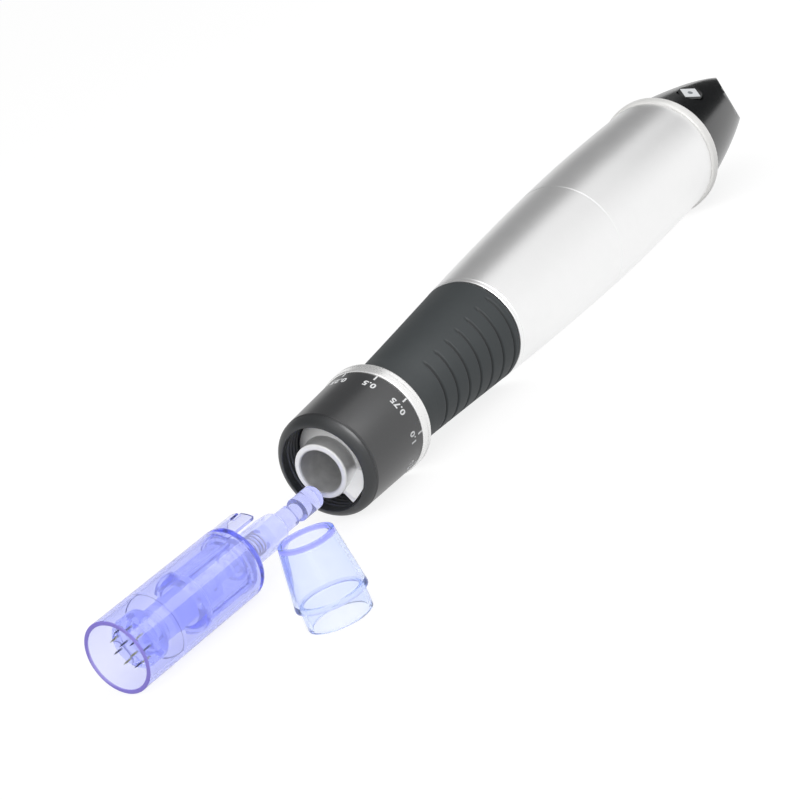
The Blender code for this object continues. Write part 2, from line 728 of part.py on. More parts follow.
def front_barrel():
    couplingX = seamX - COUPLING_LENGTH - GAP
    outline = [
        (barrel_radius(seamX) - BARREL_EDGE, seamX),
        *curve_stretch(barrel_radius, seamX - BARREL_EDGE, frontBarrelX + BARREL_EDGE),
        (BARREL_R_FRONT - BARREL_EDGE, frontBarrelX),
        (BARREL_BORE_R, frontBarrelX),
        (BARREL_BORE_R, couplingX),
        (COUPLING_R, couplingX),
        (COUPLING_R, seamX),
    ]
    turned("front_barrel", outline, penAxis, SATIN_ALUMINIUM)


def rear_barrel():
    couplingR = COUPLING_R - GAP
    couplingX = seamX - COUPLING_LENGTH
    innerR = couplingR - COUPLING_WALL
    outline = [
        (BARREL_R_REAR - BARREL_EDGE, rearBarrelEnd),
        *curve_stretch(barrel_radius, rearBarrelEnd - BARREL_EDGE, rearBarrelX + BARREL_EDGE),
        (barrel_radius(rearBarrelX) - BARREL_EDGE, rearBarrelX),
        (couplingR, rearBarrelX),
        (couplingR, couplingX),
        (innerR, couplingX),
        (innerR, rearBarrelX),
        (BARREL_BORE_R, rearBarrelX),
        (BARREL_BORE_R, rearBarrelEnd),
    ]
    turned("rear_barrel", outline, penAxis, SATIN_ALUMINIUM)


def tail_rim():
    high = rimX + RIM_WIDTH
    outline = [
        *corner_arc(RIM_R - RIM_ROUND, high - RIM_ROUND, RIM_ROUND, 90, 0),
        *corner_arc(RIM_R - RIM_ROUND, rimX + RIM_ROUND, RIM_ROUND, 0, -90),
        (BARREL_BORE_R, rimX),
        (BARREL_BORE_R, high),
    ]
    turned("tail_rim", outline, penAxis, BRIGHT_ALUMINIUM)


def dome_radius(along):
    share = min(max((along - tailX) / TAIL_LENGTH, 0), 1)
    return TAIL_R * math.sqrt(1 - share**TAIL_FULLNESS)


def dome_outline(wall, count=10):
    """Dome points from the tip down, pulled in by a wall; closer together near the tip."""
    points = []
    for index in range(count + 1):
        along = tailX + TAIL_LENGTH * math.cos(math.pi / 2 * index / count)
        radius = dome_radius(along) - wall
        if radius > 0:
            points.append((radius, along))
    return points


# frame of the slanted face: Z is its outward normal, X points down the slope
cutTurn = Matrix.Rotation(TAIL_CUT_TURN, 4, "Z") @ Matrix.Rotation(TAIL_CUT_LEAN, 4, "Y")
cutFrame = Matrix.Translation((0, 0, tailX + TAIL_LENGTH * TAIL_CUT_SHARE)) @ cutTurn
inletAxis = guide("inlet_axis", penAxis, cutFrame @ Matrix.Translation((TAIL_LENGTH * INLET_SHARE, 0, 0)))


def slanted_cutter(name, depth):
    """A block that takes away everything above the slanted face, or above a plane under it."""
    reach = TAIL_LENGTH
    cutter = block(name, (-reach, -reach, -depth), (reach, reach, reach), penAxis, cutter=True)
    cutter.matrix_local = cutFrame
    return cutter


def tail_cap():
    spigotX = tailX - RIM_WIDTH - RIM_GAP - GAP - TAIL_SPIGOT
    spigotBore = spigotR - TAIL_SPIGOT_WALL
    outer = dome_outline(0)
    shell = turned(
        "tail_cap",
        [(0, tailX + TAIL_LENGTH), *outer[1:], (spigotR, tailX), (spigotR, spigotX), (0, spigotX)],
        penAxis,
        BLACK_GLOSS,
    )
    combine(shell, slanted_cutter("tail_slant", 0))
    inner = dome_outline(TAIL_WALL)
    shoulder = tailX + TAIL_WALL
    hollowOutline = [(0, inner[0][1]), *[p for p in inner if p[1] > shoulder]]
    hollowOutline += [(dome_radius(shoulder) - TAIL_WALL, shoulder), (spigotBore, shoulder)]
    hollowOutline += [(spigotBore, spigotX - OVERRUN), (0, spigotX - OVERRUN)]
    hollow = turned("tail_hollow", hollowOutline, penAxis, cutter=True)
    combine(hollow, slanted_cutter("tail_slant_inner", TAIL_WALL))
    combine(shell, hollow)
    inletHole = rod(
        "inlet_hole",
        INLET_BUSH_R + GAP,
        -TAIL_WALL - OVERRUN,
        OVERRUN,
        inletAxis,
        steps=STEPS_MEDIUM,
        cutter=True,
    )
    combine(shell, inletHole)
    combine(shell, oval("button_hole", GAP, switchTop, TAIL_R + OVERRUN, cutter=True))


def oval(name, margin, low, high, mat=None, cutter=False):
    """The button's oval section, pointing away from the pen's axis."""
    obj = rod(name, 1, low, high, boardAxis, mat, STEPS_MEDIUM, cutter)
    across = Matrix.Diagonal((BUTTON_HALF_LONG + margin, BUTTON_HALF_WIDE + margin, 1, 1))
    obj.matrix_local = Matrix.Translation((0, 0, buttonX)) @ Matrix.Rotation(math.pi / 2, 4, "Y") @ across
    return obj


def button_seat():
    """Height of the flange's top under the curved wall of the dome."""
    halfWidth = BUTTON_HALF_WIDE + BUTTON_FLANGE
    wallInner = dome_radius(buttonX + BUTTON_HALF_LONG + BUTTON_FLANGE) - TAIL_WALL
    return math.sqrt(wallInner**2 - halfWidth**2) - GAP


def power_button():
    seat = button_seat()
    top = dome_radius(buttonX) + BUTTON_PROUD
    cap = oval("power_button", 0, seat - BUTTON_FLANGE_THICK, top, WHITE_PLASTIC)
    combine(cap, oval("button_flange", BUTTON_FLANGE, seat - BUTTON_FLANGE_THICK, seat, cutter=True), "UNION")


def board_and_switch():
    half = BOARD_WIDTH / 2
    block(
        "circuit_board",
        (boardHeight, -half, boardX),
        (boardHeight + BOARD_THICK, half, boardX + BOARD_LENGTH),
        boardAxis,
        BOARD_GREEN,
    )
    side = SWITCH_SIDE / 2
    switch = block(
        "button_switch",
        (switchBase, -side, buttonX - side),
        (switchTop, side, buttonX + side),
        boardAxis,
        BLACK_PLASTIC,
    )
    stemTop = button_seat() - BUTTON_FLANGE_THICK - BUTTON_TRAVEL - GAP
    stemBase = switchBase + GAP
    stem = cross_pin("switch_stem", SWITCH_STEM_R, stemBase, stemTop, 0, buttonX, boardAxis, cutter=True)
    combine(switch, stem, "UNION")


def board_carrier():
    end = carrierX + CARRIER_THICK
    disc = rod("board_carrier", spigotR, carrierX, end, boardAxis, BLACK_PLASTIC, STEPS_MEDIUM)
    half = JAW_WIDTH / 2
    jawEnd = boardX + JAW_LENGTH
    lower = boardHeight - GAP - JAW_THICK
    upper = boardHeight + BOARD_THICK + GAP
    for name, low in (("jaw_lower", lower), ("jaw_upper", upper)):
        jaw = block(
            name, (low, -half, carrierX + GAP), (low + JAW_THICK, half, jawEnd), boardAxis, cutter=True
        )
        combine(disc, jaw, "UNION")


def dc_inlet():
    bodyTop = -TAIL_WALL - GAP
    bottom = bodyTop - INLET_BODY_LENGTH
    floor = INLET_BUSH_PROUD - INLET_BORE_DEPTH
    outline = [
        (0, -INLET_PIN_BACK),
        (INLET_PIN_R, -INLET_PIN_BACK),
        (INLET_PIN_R, floor),
        (INLET_BORE_R, floor),
        (INLET_BORE_R, INLET_BUSH_PROUD),
        (INLET_BUSH_R, INLET_BUSH_PROUD),
        (INLET_BUSH_R, bodyTop),
        (INLET_BODY_R, bodyTop),
        (INLET_BODY_R, bottom),
        (0, bottom),
    ]
    turned("dc_inlet", outline, inletAxis, BLACK_PLASTIC, STEPS_MEDIUM)


def motor():
    bore = SHAFT_R + GAP
    innerR = MOTOR_R - MOTOR_WALL
    can = turned(
        "motor_can",
        [
            (MOTOR_R, motorEnd),
            (MOTOR_R, motorX),
            (bore, motorX),
            (bore, motorX + MOTOR_FACE),
            (innerR, motorX + MOTOR_FACE),
            (innerR, motorEnd),
        ],
        penAxis,
        BRUSHED_STEEL,
        STEPS_MEDIUM,
    )
    bellPlug = innerR - GAP
    bellX = motorEnd + GAP
    turned(
        "motor_end_bell",
        [
            (MOTOR_R, bellEnd),
            (MOTOR_R, bellX),
            (bellPlug, bellX),
            (bellPlug, bellX - BELL_SPIGOT),
            (bore, bellX - BELL_SPIGOT),
            (bore, bellEnd),
        ],
        penAxis,
        BLACK_PLASTIC,
        STEPS_MEDIUM,
    )
    armatureX = motorX + ARMATURE_AT
    armatureEnd = armatureX + ARMATURE_LENGTH
    rod("motor_shaft", SHAFT_R, shaftX, bellEnd - GAP, penAxis, BRUSHED_STEEL)
    tube("motor_armature", ARMATURE_R, bore, armatureX, armatureEnd, penAxis, COPPER, STEPS_SMALL)
    magnetR = innerR - GAP
    for label, middle in (("upper", 0), ("lower", math.pi)):
        sector(
            "motor_magnet_" + label,
            magnetR - MAGNET_THICK,
            magnetR,
            armatureX,
            armatureEnd,
            middle,
            MAGNET_HALF_ANGLE,
            penAxis,
            MAGNET_GREY,
        )
    cushionX = motorX + CUSHION_AT
    tube("motor_cushion", spigotR, MOTOR_R + GAP, cushionX, cushionX + CUSHION_WIDTH, penAxis, SOFT_RUBBER)
    mount = tube("motor_mount", spigotR, MOUNT_BOSS_R, mountX, mountX + MOUNT_THICK, penAxis, BLACK_PLASTIC)
    for label, turn in zip(("near", "far"), SCREW_ANGLES):
        screw_place(label, turn, mount, can)


def screw_place(label, turn, mount, can):
    """One motor screw, with its holes through the mount and the motor's face."""
    low = mountX - GAP
    tip = motorX + SCREW_BITE
    at = Matrix.Translation((SCREW_PITCH_R * math.cos(turn), SCREW_PITCH_R * math.sin(turn), 0))
    screw = turned(
        "mount_screw_" + label,
        [
            (0, tip),
            (SCREW_R, tip),
            (SCREW_R, low),
            (SCREW_HEAD_R, low),
            (SCREW_HEAD_R, low - SCREW_HEAD_HEIGHT),
            (0, low - SCREW_HEAD_HEIGHT),
        ],
        penAxis,
        BRUSHED_STEEL,
        STEPS_SMALL,
    )
    screw.matrix_local = at
    holeEnd = motorX + MOTOR_FACE + OVERRUN
    hole = rod("screw_hole_" + label, SCREW_R + GAP, mountX - OVERRUN, holeEnd, penAxis, cutter=True)
    hole.matrix_local = at
    combine(mount, hole)
    combine(can, hole)


def oblique_cam():
    bore = SHAFT_R + GAP
    highest = camFaceX - camSlope * CAM_R - OVERRUN
    cam = tube("oblique_cam", CAM_R, bore, highest, camEnd, penAxis, WHITE_PLASTIC, STEPS_MEDIUM)
    reach = 2 * CAM_R
    lean = block("cam_slant", (-reach, -reach, -reach), (reach, reach, 0), penAxis, cutter=True)
    lean.matrix_local = Matrix.Translation((0, 0, camFaceX)) @ Matrix.Rotation(math.atan(camSlope), 4, "Y")
    combine(cam, lean)
    grubX = camEnd - CAM_MEAN_LENGTH / 3
    grubOuter = bore + GRUB_LENGTH
    hole = cross_pin("grub_hole", GRUB_R + GAP, 0, CAM_R + OVERRUN, math.pi, grubX, penAxis, cutter=True)
    combine(cam, hole)
    cross_pin("cam_grub_screw", GRUB_R, bore, grubOuter, math.pi, grubX, penAxis, BRUSHED_STEEL)


def drive_rod():
    rod("drive_rod", ROD_R, rodX, rodEnd - GAP, penAxis, BRUSHED_STEEL)
    tipHole = ROD_R + GAP
    tipEnd = rodTipX + ROD_TIP_LENGTH
    tipFloor = rodTipX + ROD_TIP_WALL
    turned(
        "rod_tip",
        [
            (0, tipFloor),
            (tipHole, tipFloor),
            (tipHole, tipEnd),
            (ROD_TIP_R, tipEnd),
            (ROD_TIP_R, rodTipX),
            (0, rodTipX),
        ],
        penAxis,
        WHITE_PLASTIC,
        STEPS_SMALL,
    )
    foot = turned(
        "rod_foot",
        [
            (0, footEnd),
            (FOOT_R, footEnd),
            (FOOT_R, footX),
            (FOOT_HUB_R, footX),
            (FOOT_HUB_R, hubX),
            (tipHole, hubX),
            (tipHole, rodEnd),
            (0, rodEnd),
        ],
        penAxis,
        WHITE_PLASTIC,
        STEPS_MEDIUM,
    )
    nub = rod("follower_nub", FOLLOWER_R, footX + GAP, followerTip, penAxis, cutter=True)
    nub.matrix_local = Matrix.Translation((FOLLOWER_OFFSET, 0, 0))
    combine(foot, nub, "UNION")
    turned(
        "rod_guide_bush",
        [
            (BUSH_FLANGE_R, bushEnd),
            (BUSH_FLANGE_R, bushX + BUSH_LENGTH),
            (BUSH_R, bushX + BUSH_LENGTH),
            (BUSH_R, bushX),
            (tipHole, bushX),
            (tipHole, bushEnd),
        ],
        penAxis,
        BRASS,
        STEPS_MEDIUM,
    )
    springLow = bushEnd + GAP + ROD_SPRING_WIRE
    springHigh = hubX - GAP - ROD_SPRING_WIRE
    coil(
        "rod_spring", ROD_SPRING_R, ROD_SPRING_WIRE, springLow, springHigh, ROD_SPRING_TURNS,
        penAxis, SPRING_STEEL
    )


def cartridge_shell():
    innerR = SHELL_R - SHELL_WALL
    backHole = NECK_R + GAP
    innerRound = SHELL_ROUND - SHELL_WALL
    outline = [
        (backHole, SHELL_LENGTH),
        *corner_arc(SHELL_R - SHELL_ROUND, SHELL_LENGTH - SHELL_ROUND, SHELL_ROUND, 90, 0),
        (SHELL_R, 0),
        (innerR, 0),
        *corner_arc(innerR - innerRound, SHELL_LENGTH - SHELL_BACK - innerRound, innerRound, 0, 90),
        (backHole, SHELL_LENGTH - SHELL_BACK),
    ]
    shell = turned("cartridge_shell", outline, cartridgeAxis, BLUE_CLEAR)
    armOuter = SHELL_R - SHELL_WALL / 8
    armInner = armOuter - ARM_WALL
    armLow = SHELL_LENGTH - SHELL_ROUND - SHELL_BACK
    armHigh = SHELL_LENGTH + ARM_LENGTH
    arm = sector(
        "bayonet_arm", armInner, armOuter, armLow, armHigh, ARM_TURN, ARM_HALF_ANGLE,
        cartridgeAxis, cutter=True
    )
    combine(shell, arm, "UNION")
    slotTurn = ARM_TURN + ARM_SLOT_TURN
    slot = block(
        "bayonet_slot",
        (armInner - OVERRUN, -ARM_SLOT_WIDTH / 2, armHigh - ARM_SLOT_LENGTH),
        (armOuter + OVERRUN, ARM_SLOT_WIDTH / 2, armHigh + OVERRUN),
        cartridgeAxis,
        cutter=True,
    )
    slot.matrix_local = Matrix.Rotation(slotTurn, 4, "Z")
    combine(shell, slot)


def cartridge_guide():
    """Inner part of the cartridge: a guide for the needle carrier, a disc and the neck."""
    neckBore = NECK_R - NECK_WALL
    stemHole = STEM_R + GAP
    discHigh = SHELL_LENGTH - SHELL_BACK - GAP
    discLow = discHigh - COLLET_THICK
    outline = [
        (NECK_R, NECK_END),
        (NECK_R, discHigh),
        (COLLET_R, discHigh),
        (COLLET_R, discLow),
        (GUIDE_R, discLow),
        (GUIDE_R, GUIDE_FRONT),
        (GUIDE_R - GUIDE_WALL, GUIDE_FRONT),
        (GUIDE_R - GUIDE_WALL, discLow),
        (stemHole, discLow),
        (stemHole, discHigh),
        (neckBore, discHigh),
        (neckBore, NECK_END),
    ]
    turned("cartridge_guide", outline, cartridgeAxis, VIOLET_CLEAR, STEPS_MEDIUM)


def needle_carrier():
    headEnd = NEEDLE_FACE + HEAD_LENGTH
    collarEnd = STEM_COLLAR_AT + STEM_COLLAR_LENGTH
    knobX = collarEnd + STEM_NOTCH
    stemEnd = knobX + STEM_KNOB_LENGTH
    bodyEnd = GUIDE_FRONT + NEEDLE_TRAVEL + CARRIER_BODY_REST
    outline = [
        (0, stemEnd),
        (STEM_KNOB_R - STEM_BEVEL, stemEnd),
        (STEM_KNOB_R, stemEnd - STEM_BEVEL),
        (STEM_KNOB_R, knobX),
        (STEM_R, knobX),
        (STEM_R, collarEnd),
        (STEM_COLLAR_R, collarEnd),
        (STEM_COLLAR_R, STEM_COLLAR_AT),
        (STEM_R, STEM_COLLAR_AT),
        (STEM_R, bodyEnd),
        (CARRIER_BODY_R, bodyEnd),
        (CARRIER_BODY_R, headEnd + GAP),
        (STEM_R, headEnd + GAP),
        (STEM_R, headEnd + GAP - HEAD_STEP),
        (0, headEnd + GAP - HEAD_STEP),
    ]
    turned("needle_carrier", outline, cartridgeAxis, VIOLET_CLEAR, STEPS_SMALL)
    socketR = STEM_R + GAP
    head = turned(
        "needle_head",
        [
            (socketR, headEnd),
            (HEAD_STEP_R, headEnd),
            (HEAD_STEP_R, headEnd - HEAD_STEP),
            (HEAD_R, headEnd - HEAD_STEP),
            (HEAD_R, NEEDLE_FACE + HEAD_BEVEL),
            (HEAD_R - HEAD_BEVEL, NEEDLE_FACE),
            (0, NEEDLE_FACE),
            (0, headEnd - HEAD_STEP),
            (socketR, headEnd - HEAD_STEP),
        ],
        cartridgeAxis,
        VIOLET_CLEAR,
        STEPS_MEDIUM,
    )
    combine(head, needles(), "UNION")


def needles():
    """All the needles as one tool that the head takes in."""
    shape = bmesh.new()
    root = HEAD_BEVEL
    for count, radius in zip(NEEDLE_COUNTS, NEEDLE_RING_R):
        for index in range(count):
            angle = math.tau * (index + 0.5) / count
            along = NEEDLE_FACE - (NEEDLE_LENGTH - root) / 2
            middle = Vector((radius * math.cos(angle), radius * math.sin(angle), along))
            bmesh.ops.create_cone(
                shape,
                cap_ends=True,
                segments=NEEDLE_SIDES,
                radius1=NEEDLE_TIP_R,
                radius2=NEEDLE_R,
                depth=NEEDLE_LENGTH + root,
                matrix=Matrix.Translation(middle),
            )
    mesh = bpy.data.meshes.new("needles")
    shape.to_mesh(mesh)
    shape.free()
    return place(bpy.data.objects.new("needles", mesh), cartridgeAxis, cutter=True)


def cartridge_spring():
    low = SHELL_LENGTH - SHELL_BACK + CART_SPRING_WIRE
    high = STEM_COLLAR_AT - GAP - CART_SPRING_WIRE
    coil(
        "cartridge_spring", CART_SPRING_R, CART_SPRING_WIRE, low, high, CART_SPRING_TURNS,
        cartridgeAxis, SPRING_STEEL
    )


def protective_cap():
    collarInner = CAP_COLLAR_R - CAP_WALL
    stepInner = CAP_STEP_R - CAP_WALL
    topInner = CAP_TOP_R - CAP_WALL
    outline = [
        (CAP_TOP_R, CAP_HEIGHT),
        (CAP_STEP_R, CAP_COLLAR),
        (CAP_COLLAR_R, CAP_COLLAR),
        (CAP_COLLAR_R, 0),
        (collarInner, 0),
        (collarInner, CAP_COLLAR + CAP_WALL),
        (stepInner, CAP_COLLAR + CAP_WALL),
        (topInner, CAP_HEIGHT),
    ]
    turned("protective_cap", outline, capAxis, PALE_CLEAR)


depth_ring()
index_collar()
nozzle()
nozzle_keys()
grip_sleeve()
grip_core()
nose_hardware()
front_barrel()
rear_barrel()
tail_rim()
tail_cap()
power_button()
board_and_switch()
board_carrier()
dc_inlet()
motor()
oblique_cam()
drive_rod()
cartridge_shell()
cartridge_guide()
needle_carrier()
cartridge_spring()
protective_cap()


def settle_meshes():
    """Apply every modifier, shade the pieces, and stand the whole on the origin."""
    bpy.context.view_layer.update()
    graph = bpy.context.evaluated_depsgraph_get()
    pieces = [obj for obj in partsCollection.objects if obj.type == "MESH"]
    made = {obj: bpy.data.meshes.new_from_object(obj.evaluated_get(graph)) for obj in pieces}
    corners = []
    for obj, mesh in made.items():
        corners += [obj.matrix_world @ vertex.co for vertex in mesh.vertices]
        obj.modifiers.clear()
        obj.data = mesh
        mesh.name = obj.name
        mesh.shade_smooth()
        mesh.set_sharp_from_angle(angle=math.radians(35))
    low = Vector(min(c[i] for c in corners) for i in range(3))
    high = Vector(max(c[i] for c in corners) for i in range(3))
    assemblyOrigin.location = (-(low.x + high.x) / 2, -(low.y + high.y) / 2, -low.z)
    bpy.context.view_layer.update()
    dial = penAxis.matrix_world.translation / MM
    print(
        "front of the dial centred at", [round(c, 3) for c in dial],
        "mm, tilt", round(math.degrees(penTilt), 3),
    )


settle_meshes()
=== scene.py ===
import math

import bmesh
import bpy
from mathutils import Matrix, Vector


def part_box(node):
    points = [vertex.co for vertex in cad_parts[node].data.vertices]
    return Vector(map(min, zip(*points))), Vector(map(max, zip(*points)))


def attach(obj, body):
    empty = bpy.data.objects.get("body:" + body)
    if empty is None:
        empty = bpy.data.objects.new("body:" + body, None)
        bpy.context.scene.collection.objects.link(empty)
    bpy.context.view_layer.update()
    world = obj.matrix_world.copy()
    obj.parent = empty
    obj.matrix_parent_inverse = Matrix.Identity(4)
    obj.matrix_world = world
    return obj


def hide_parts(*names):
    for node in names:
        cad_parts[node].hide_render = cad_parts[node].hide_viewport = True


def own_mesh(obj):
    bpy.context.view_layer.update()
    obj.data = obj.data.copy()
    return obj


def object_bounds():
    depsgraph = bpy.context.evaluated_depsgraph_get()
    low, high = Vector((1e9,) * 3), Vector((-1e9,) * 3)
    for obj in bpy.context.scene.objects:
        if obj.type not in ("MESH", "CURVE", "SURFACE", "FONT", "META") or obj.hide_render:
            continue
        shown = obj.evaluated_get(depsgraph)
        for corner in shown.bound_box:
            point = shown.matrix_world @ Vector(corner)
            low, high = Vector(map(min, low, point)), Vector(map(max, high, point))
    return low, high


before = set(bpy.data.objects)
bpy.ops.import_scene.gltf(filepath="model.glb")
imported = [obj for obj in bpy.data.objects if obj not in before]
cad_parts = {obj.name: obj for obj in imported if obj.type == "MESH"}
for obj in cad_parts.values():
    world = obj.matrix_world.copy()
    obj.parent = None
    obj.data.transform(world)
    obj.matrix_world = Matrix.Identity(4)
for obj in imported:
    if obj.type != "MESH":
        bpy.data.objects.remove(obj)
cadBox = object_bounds()
print("frame loaded with", len(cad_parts), "solids")

mm = 0.001
closeBy = 0.0005   # points nearer than this, in millimetres, are one point
steadyFrom = 0.5   # sides of an outline longer than this get steadying points
steadyGap = 0.06
manySided = 4      # faces with more corners than this are cut into triangles

# the pen lies nose down, the cartridge points the same way, the cap stands up
penLean = math.radians(1.416)
dialCentre = Vector((-58.301, 8.4, 9.877)) * mm
penPlace = Matrix.Translation(dialCentre) @ Matrix((
    (-math.sin(penLean), 0, math.cos(penLean), 0),
    (0, -1, 0, 0),
    (math.cos(penLean), 0, math.sin(penLean), 0),
    (0, 0, 0, 1),
))
cartridgeYaw = math.radians(-3.7)
cartridgeMouth = Vector((dialCentre.x - 55.3 * mm, dialCentre.y + 5.65 * mm, 6.3 * mm))
cartridgePlace = Matrix.Translation(cartridgeMouth) @ Matrix((
    (0, math.sin(cartridgeYaw), math.cos(cartridgeYaw), 0),
    (0, -math.cos(cartridgeYaw), math.sin(cartridgeYaw), 0),
    (1, 0, 0, 0),
    (0, 0, 0, 1),
))
capPlace = Matrix.Translation((dialCentre.x - 38.0 * mm, dialCentre.y - 23.5 * mm, 0))
places = {"cartridge": cartridgePlace, "needles": cartridgePlace, "cap": capPlace}   # penPlace for the others


# settings of the camera and the studio
cameraFit = dict(
    place=(-358.64, -251.97, 121.66),     # millimetres
    right=(0.49608, -0.7812, -0.37901),
    up=(0.43096, -0.1573, 0.88858),
    lens=112.5,
    sensor=36,
    clip=(0.01, 50),
)
studio = dict(
    floorHeight=-0.02 * mm,
    floorReach=4.0,
    floorColour=(0.9, 0.9, 0.9),
    floorShade=0.985,
    floorShare=0.28,        # how much of the floor's tone comes from the lamps
    floorGlow=0.83,
    skyLight=0.62,
    lamps=dict(                 # aim, distance, size, power, and whether the object mirrors it
        key=((0.747, -0.50, 0.436), 0.72, 0.62, 1.25, False),
        fill=((-0.55, -0.35, 0.75), 0.9, 0.6, 0.8, True),
        front=((-0.88, -0.45, 0.17), 0.8, 0.35, 2.3, False),
    ),
    cardFrom=(0.55, 0.0084, 0.012),
    cardAim=(0.0, 0.47, 0.88),
    cardFar=0.34,
    cardSize=(2.2, 0.45),
    cardTone=0.31,
    endCardAt=(0.9, 0.02, 0.245),
    endCardSize=(0.68, 0.37),
    endCardTone=0.05,
    streakAt=(-0.0465, -0.0455, 0.0517),
    streakAim=(0.0, -0.788, 0.615),
    streakSize=(0.04, 0.038),
    streakTone=10.0,
)


def turned(degrees, axis):
    return Matrix.Rotation(math.radians(degrees), 4, axis)


def linked(name, data):
    made = bpy.data.objects.new(name, data)
    bpy.context.scene.collection.objects.link(made)
    return made


def meshOf(shape, name):
    mesh = bpy.data.meshes.new(name)
    shape.to_mesh(mesh)
    shape.free()
    return mesh


class Signal:
    # a shader socket that takes part in Python sums
    def __init__(self, finish, socket):
        self.finish = finish
        self.socket = socket

    def __add__(self, other):
        return self.finish.maths("ADD", self, other)

    def __radd__(self, other):
        return self.finish.maths("ADD", other, self)

    def __sub__(self, other):
        return self.finish.maths("SUBTRACT", self, other)

    def __rsub__(self, other):
        return self.finish.maths("SUBTRACT", other, self)

    def __mul__(self, other):
        return self.finish.maths("MULTIPLY", self, other)

    def __rmul__(self, other):
        return self.finish.maths("MULTIPLY", other, self)

    def __pow__(self, other):
        return self.finish.maths("POWER", self, other)

    def __rpow__(self, other):
        return self.finish.maths("POWER", other, self)


class NodeBoard:
    # the nodes of one material or of the world
    def __init__(self, tree):
        self.tree = tree

    def node(self, kind, settings=None, values=None, out=0):
        made = self.tree.nodes.new(kind)
        for key, value in (settings or {}).items():
            setattr(made, key, value)
        for key, value in (values or {}).items():
            self.feed(made.inputs[key], value)
        return Signal(self, made.outputs[out])

    def feed(self, socket, value):
        if isinstance(value, Signal):
            self.tree.links.new(value.socket, socket)
        else:
            socket.default_value = value

    def maths(self, operation, first, second):
        return self.node("ShaderNodeMath", {"operation": operation}, {0: first, 1: second})

    def within(self, value, low, high):
        # 0 up to low, 1 from high on, and smooth between them
        values = {"Value": value, 1: low, 2: high}
        return self.node("ShaderNodeMapRange", {"interpolation_type": "SMOOTHSTEP"}, values)

    def blend(self, share, first, second):
        first, second = [c if isinstance(c, Signal) else (*c[:3], 1) for c in (first, second)]
        return self.node("ShaderNodeMix", {"data_type": "RGBA"}, {0: share, 6: first, 7: second}, out=2)


class Finish(NodeBoard):
    # one material; place turns object coordinates into a piece's own millimetres
    def __init__(self, name, place=None, **plain):
        self.name = name
        self.material = bpy.data.materials.new(name)
        self.material.use_nodes = True
        super().__init__(self.material.node_tree)
        self.shader = self.tree.nodes["Principled BSDF"]
        self.output = self.tree.nodes["Material Output"]
        place = place or Matrix.Identity(4)
        spot = self.node("ShaderNodeTexCoord", out=3)
        self.spot = self.node(
            "ShaderNodeMapping",
            {"vector_type": "TEXTURE"},
            {
                "Vector": spot,
                "Location": place.to_translation(),
                "Rotation": place.to_euler(),
                "Scale": (mm, mm, mm),
            },
        )
        self.set(**plain)

    def set(self, **values):
        # words of a socket's name are joined, as in baseColor
        for key, value in values.items():
            words = "".join(" " + letter if letter.isupper() else letter for letter in key).title()
            words = words.replace("I O R", "IOR")
            if words in ("Base Color", "Emission Color") and not isinstance(value, Signal):
                value = (*value[:3], 1)
            self.feed(self.shader.inputs[words], value)
        return self

    def part(self, letter):
        return self.node("ShaderNodeSeparateXYZ", None, {0: self.spot}, out="XYZ".index(letter))

    def along(self):
        return self.part("Z")

    def offAxis(self):
        return (self.part("X") ** 2 + self.part("Y") ** 2) ** 0.5

    def stretched(self, scale):
        return self.node("ShaderNodeMapping", None, {"Vector": self.spot, "Scale": scale})

    def noise(self, scale, detail, vector=None):
        values = {"Vector": vector or self.spot, "Scale": scale, "Detail": detail}
        return self.node("ShaderNodeTexNoise", None, values)

    def mix(self, share, other):
        first = Signal(self, self.shader.outputs[0])
        mixed = self.node("ShaderNodeMixShader", None, {0: share, 1: first, 2: other})
        self.feed(self.output.inputs["Surface"], mixed)

    def grain(self, height, strength, reach=0.02):
        values = {"Height": height, "Strength": strength, "Distance": reach * mm}
        return self.node("ShaderNodeBump", None, values)


# camera, lamps and cards
def makeCamera():
    right = Vector(cameraFit["right"]).normalized()
    up = Vector(cameraFit["up"])
    up = (up - right * up.dot(right)).normalized()
    turn = Matrix((right, up, right.cross(up))).transposed().to_4x4()
    lens = bpy.data.cameras.new("view")
    lens.lens = cameraFit["lens"]
    lens.sensor_width = cameraFit["sensor"]
    lens.clip_start, lens.clip_end = cameraFit["clip"]
    camera = linked("view", lens)
    camera.matrix_world = Matrix.Translation(Vector(cameraFit["place"]) * mm) @ turn
    bpy.context.scene.camera = camera


def softbox(name, aim, far, size, power, mirrored):
    aim = Vector(aim).normalized()
    light = bpy.data.lights.new(name, "AREA")
    light.shape = "SQUARE"
    light.size = size
    light.energy = power
    lamp = linked(name, light)
    middle = (cadBox[0] + cadBox[1]) / 2
    turn = aim.to_track_quat("Z", "Y").to_matrix().to_4x4()
    lamp.matrix_world = Matrix.Translation(middle + aim * far) @ turn
    lamp.visible_glossy = mirrored


def stagePlane(name, size, place):
    shape = bmesh.new()
    bmesh.ops.create_grid(shape, x_segments=1, y_segments=1, size=0.5)
    shape.transform(place @ Matrix.Diagonal((*size, 1, 1)))
    plane = linked(name, meshOf(shape, name))
    return plane


def mirrorCard(name, size, place, tone):
    # a card that only shows where the object mirrors it
    card = stagePlane(name, size, place)
    board = Finish(name, roughness=1.0, specularIORLevel=0.0, baseColor=(0, 0, 0))
    board.set(emissionColor=(1, 1, 1), emissionStrength=tone)
    card.data.materials.append(board.material)
    card.visible_camera = False
    card.visible_diffuse = False
    card.visible_transmission = False
    card.visible_shadow = False


def facing(aim):
    # turns a plane to face along aim, with its first side kept along the pen
    side = Vector((1, 0, 0))
    return Matrix((side, aim.cross(side), aim)).transposed().to_4x4()


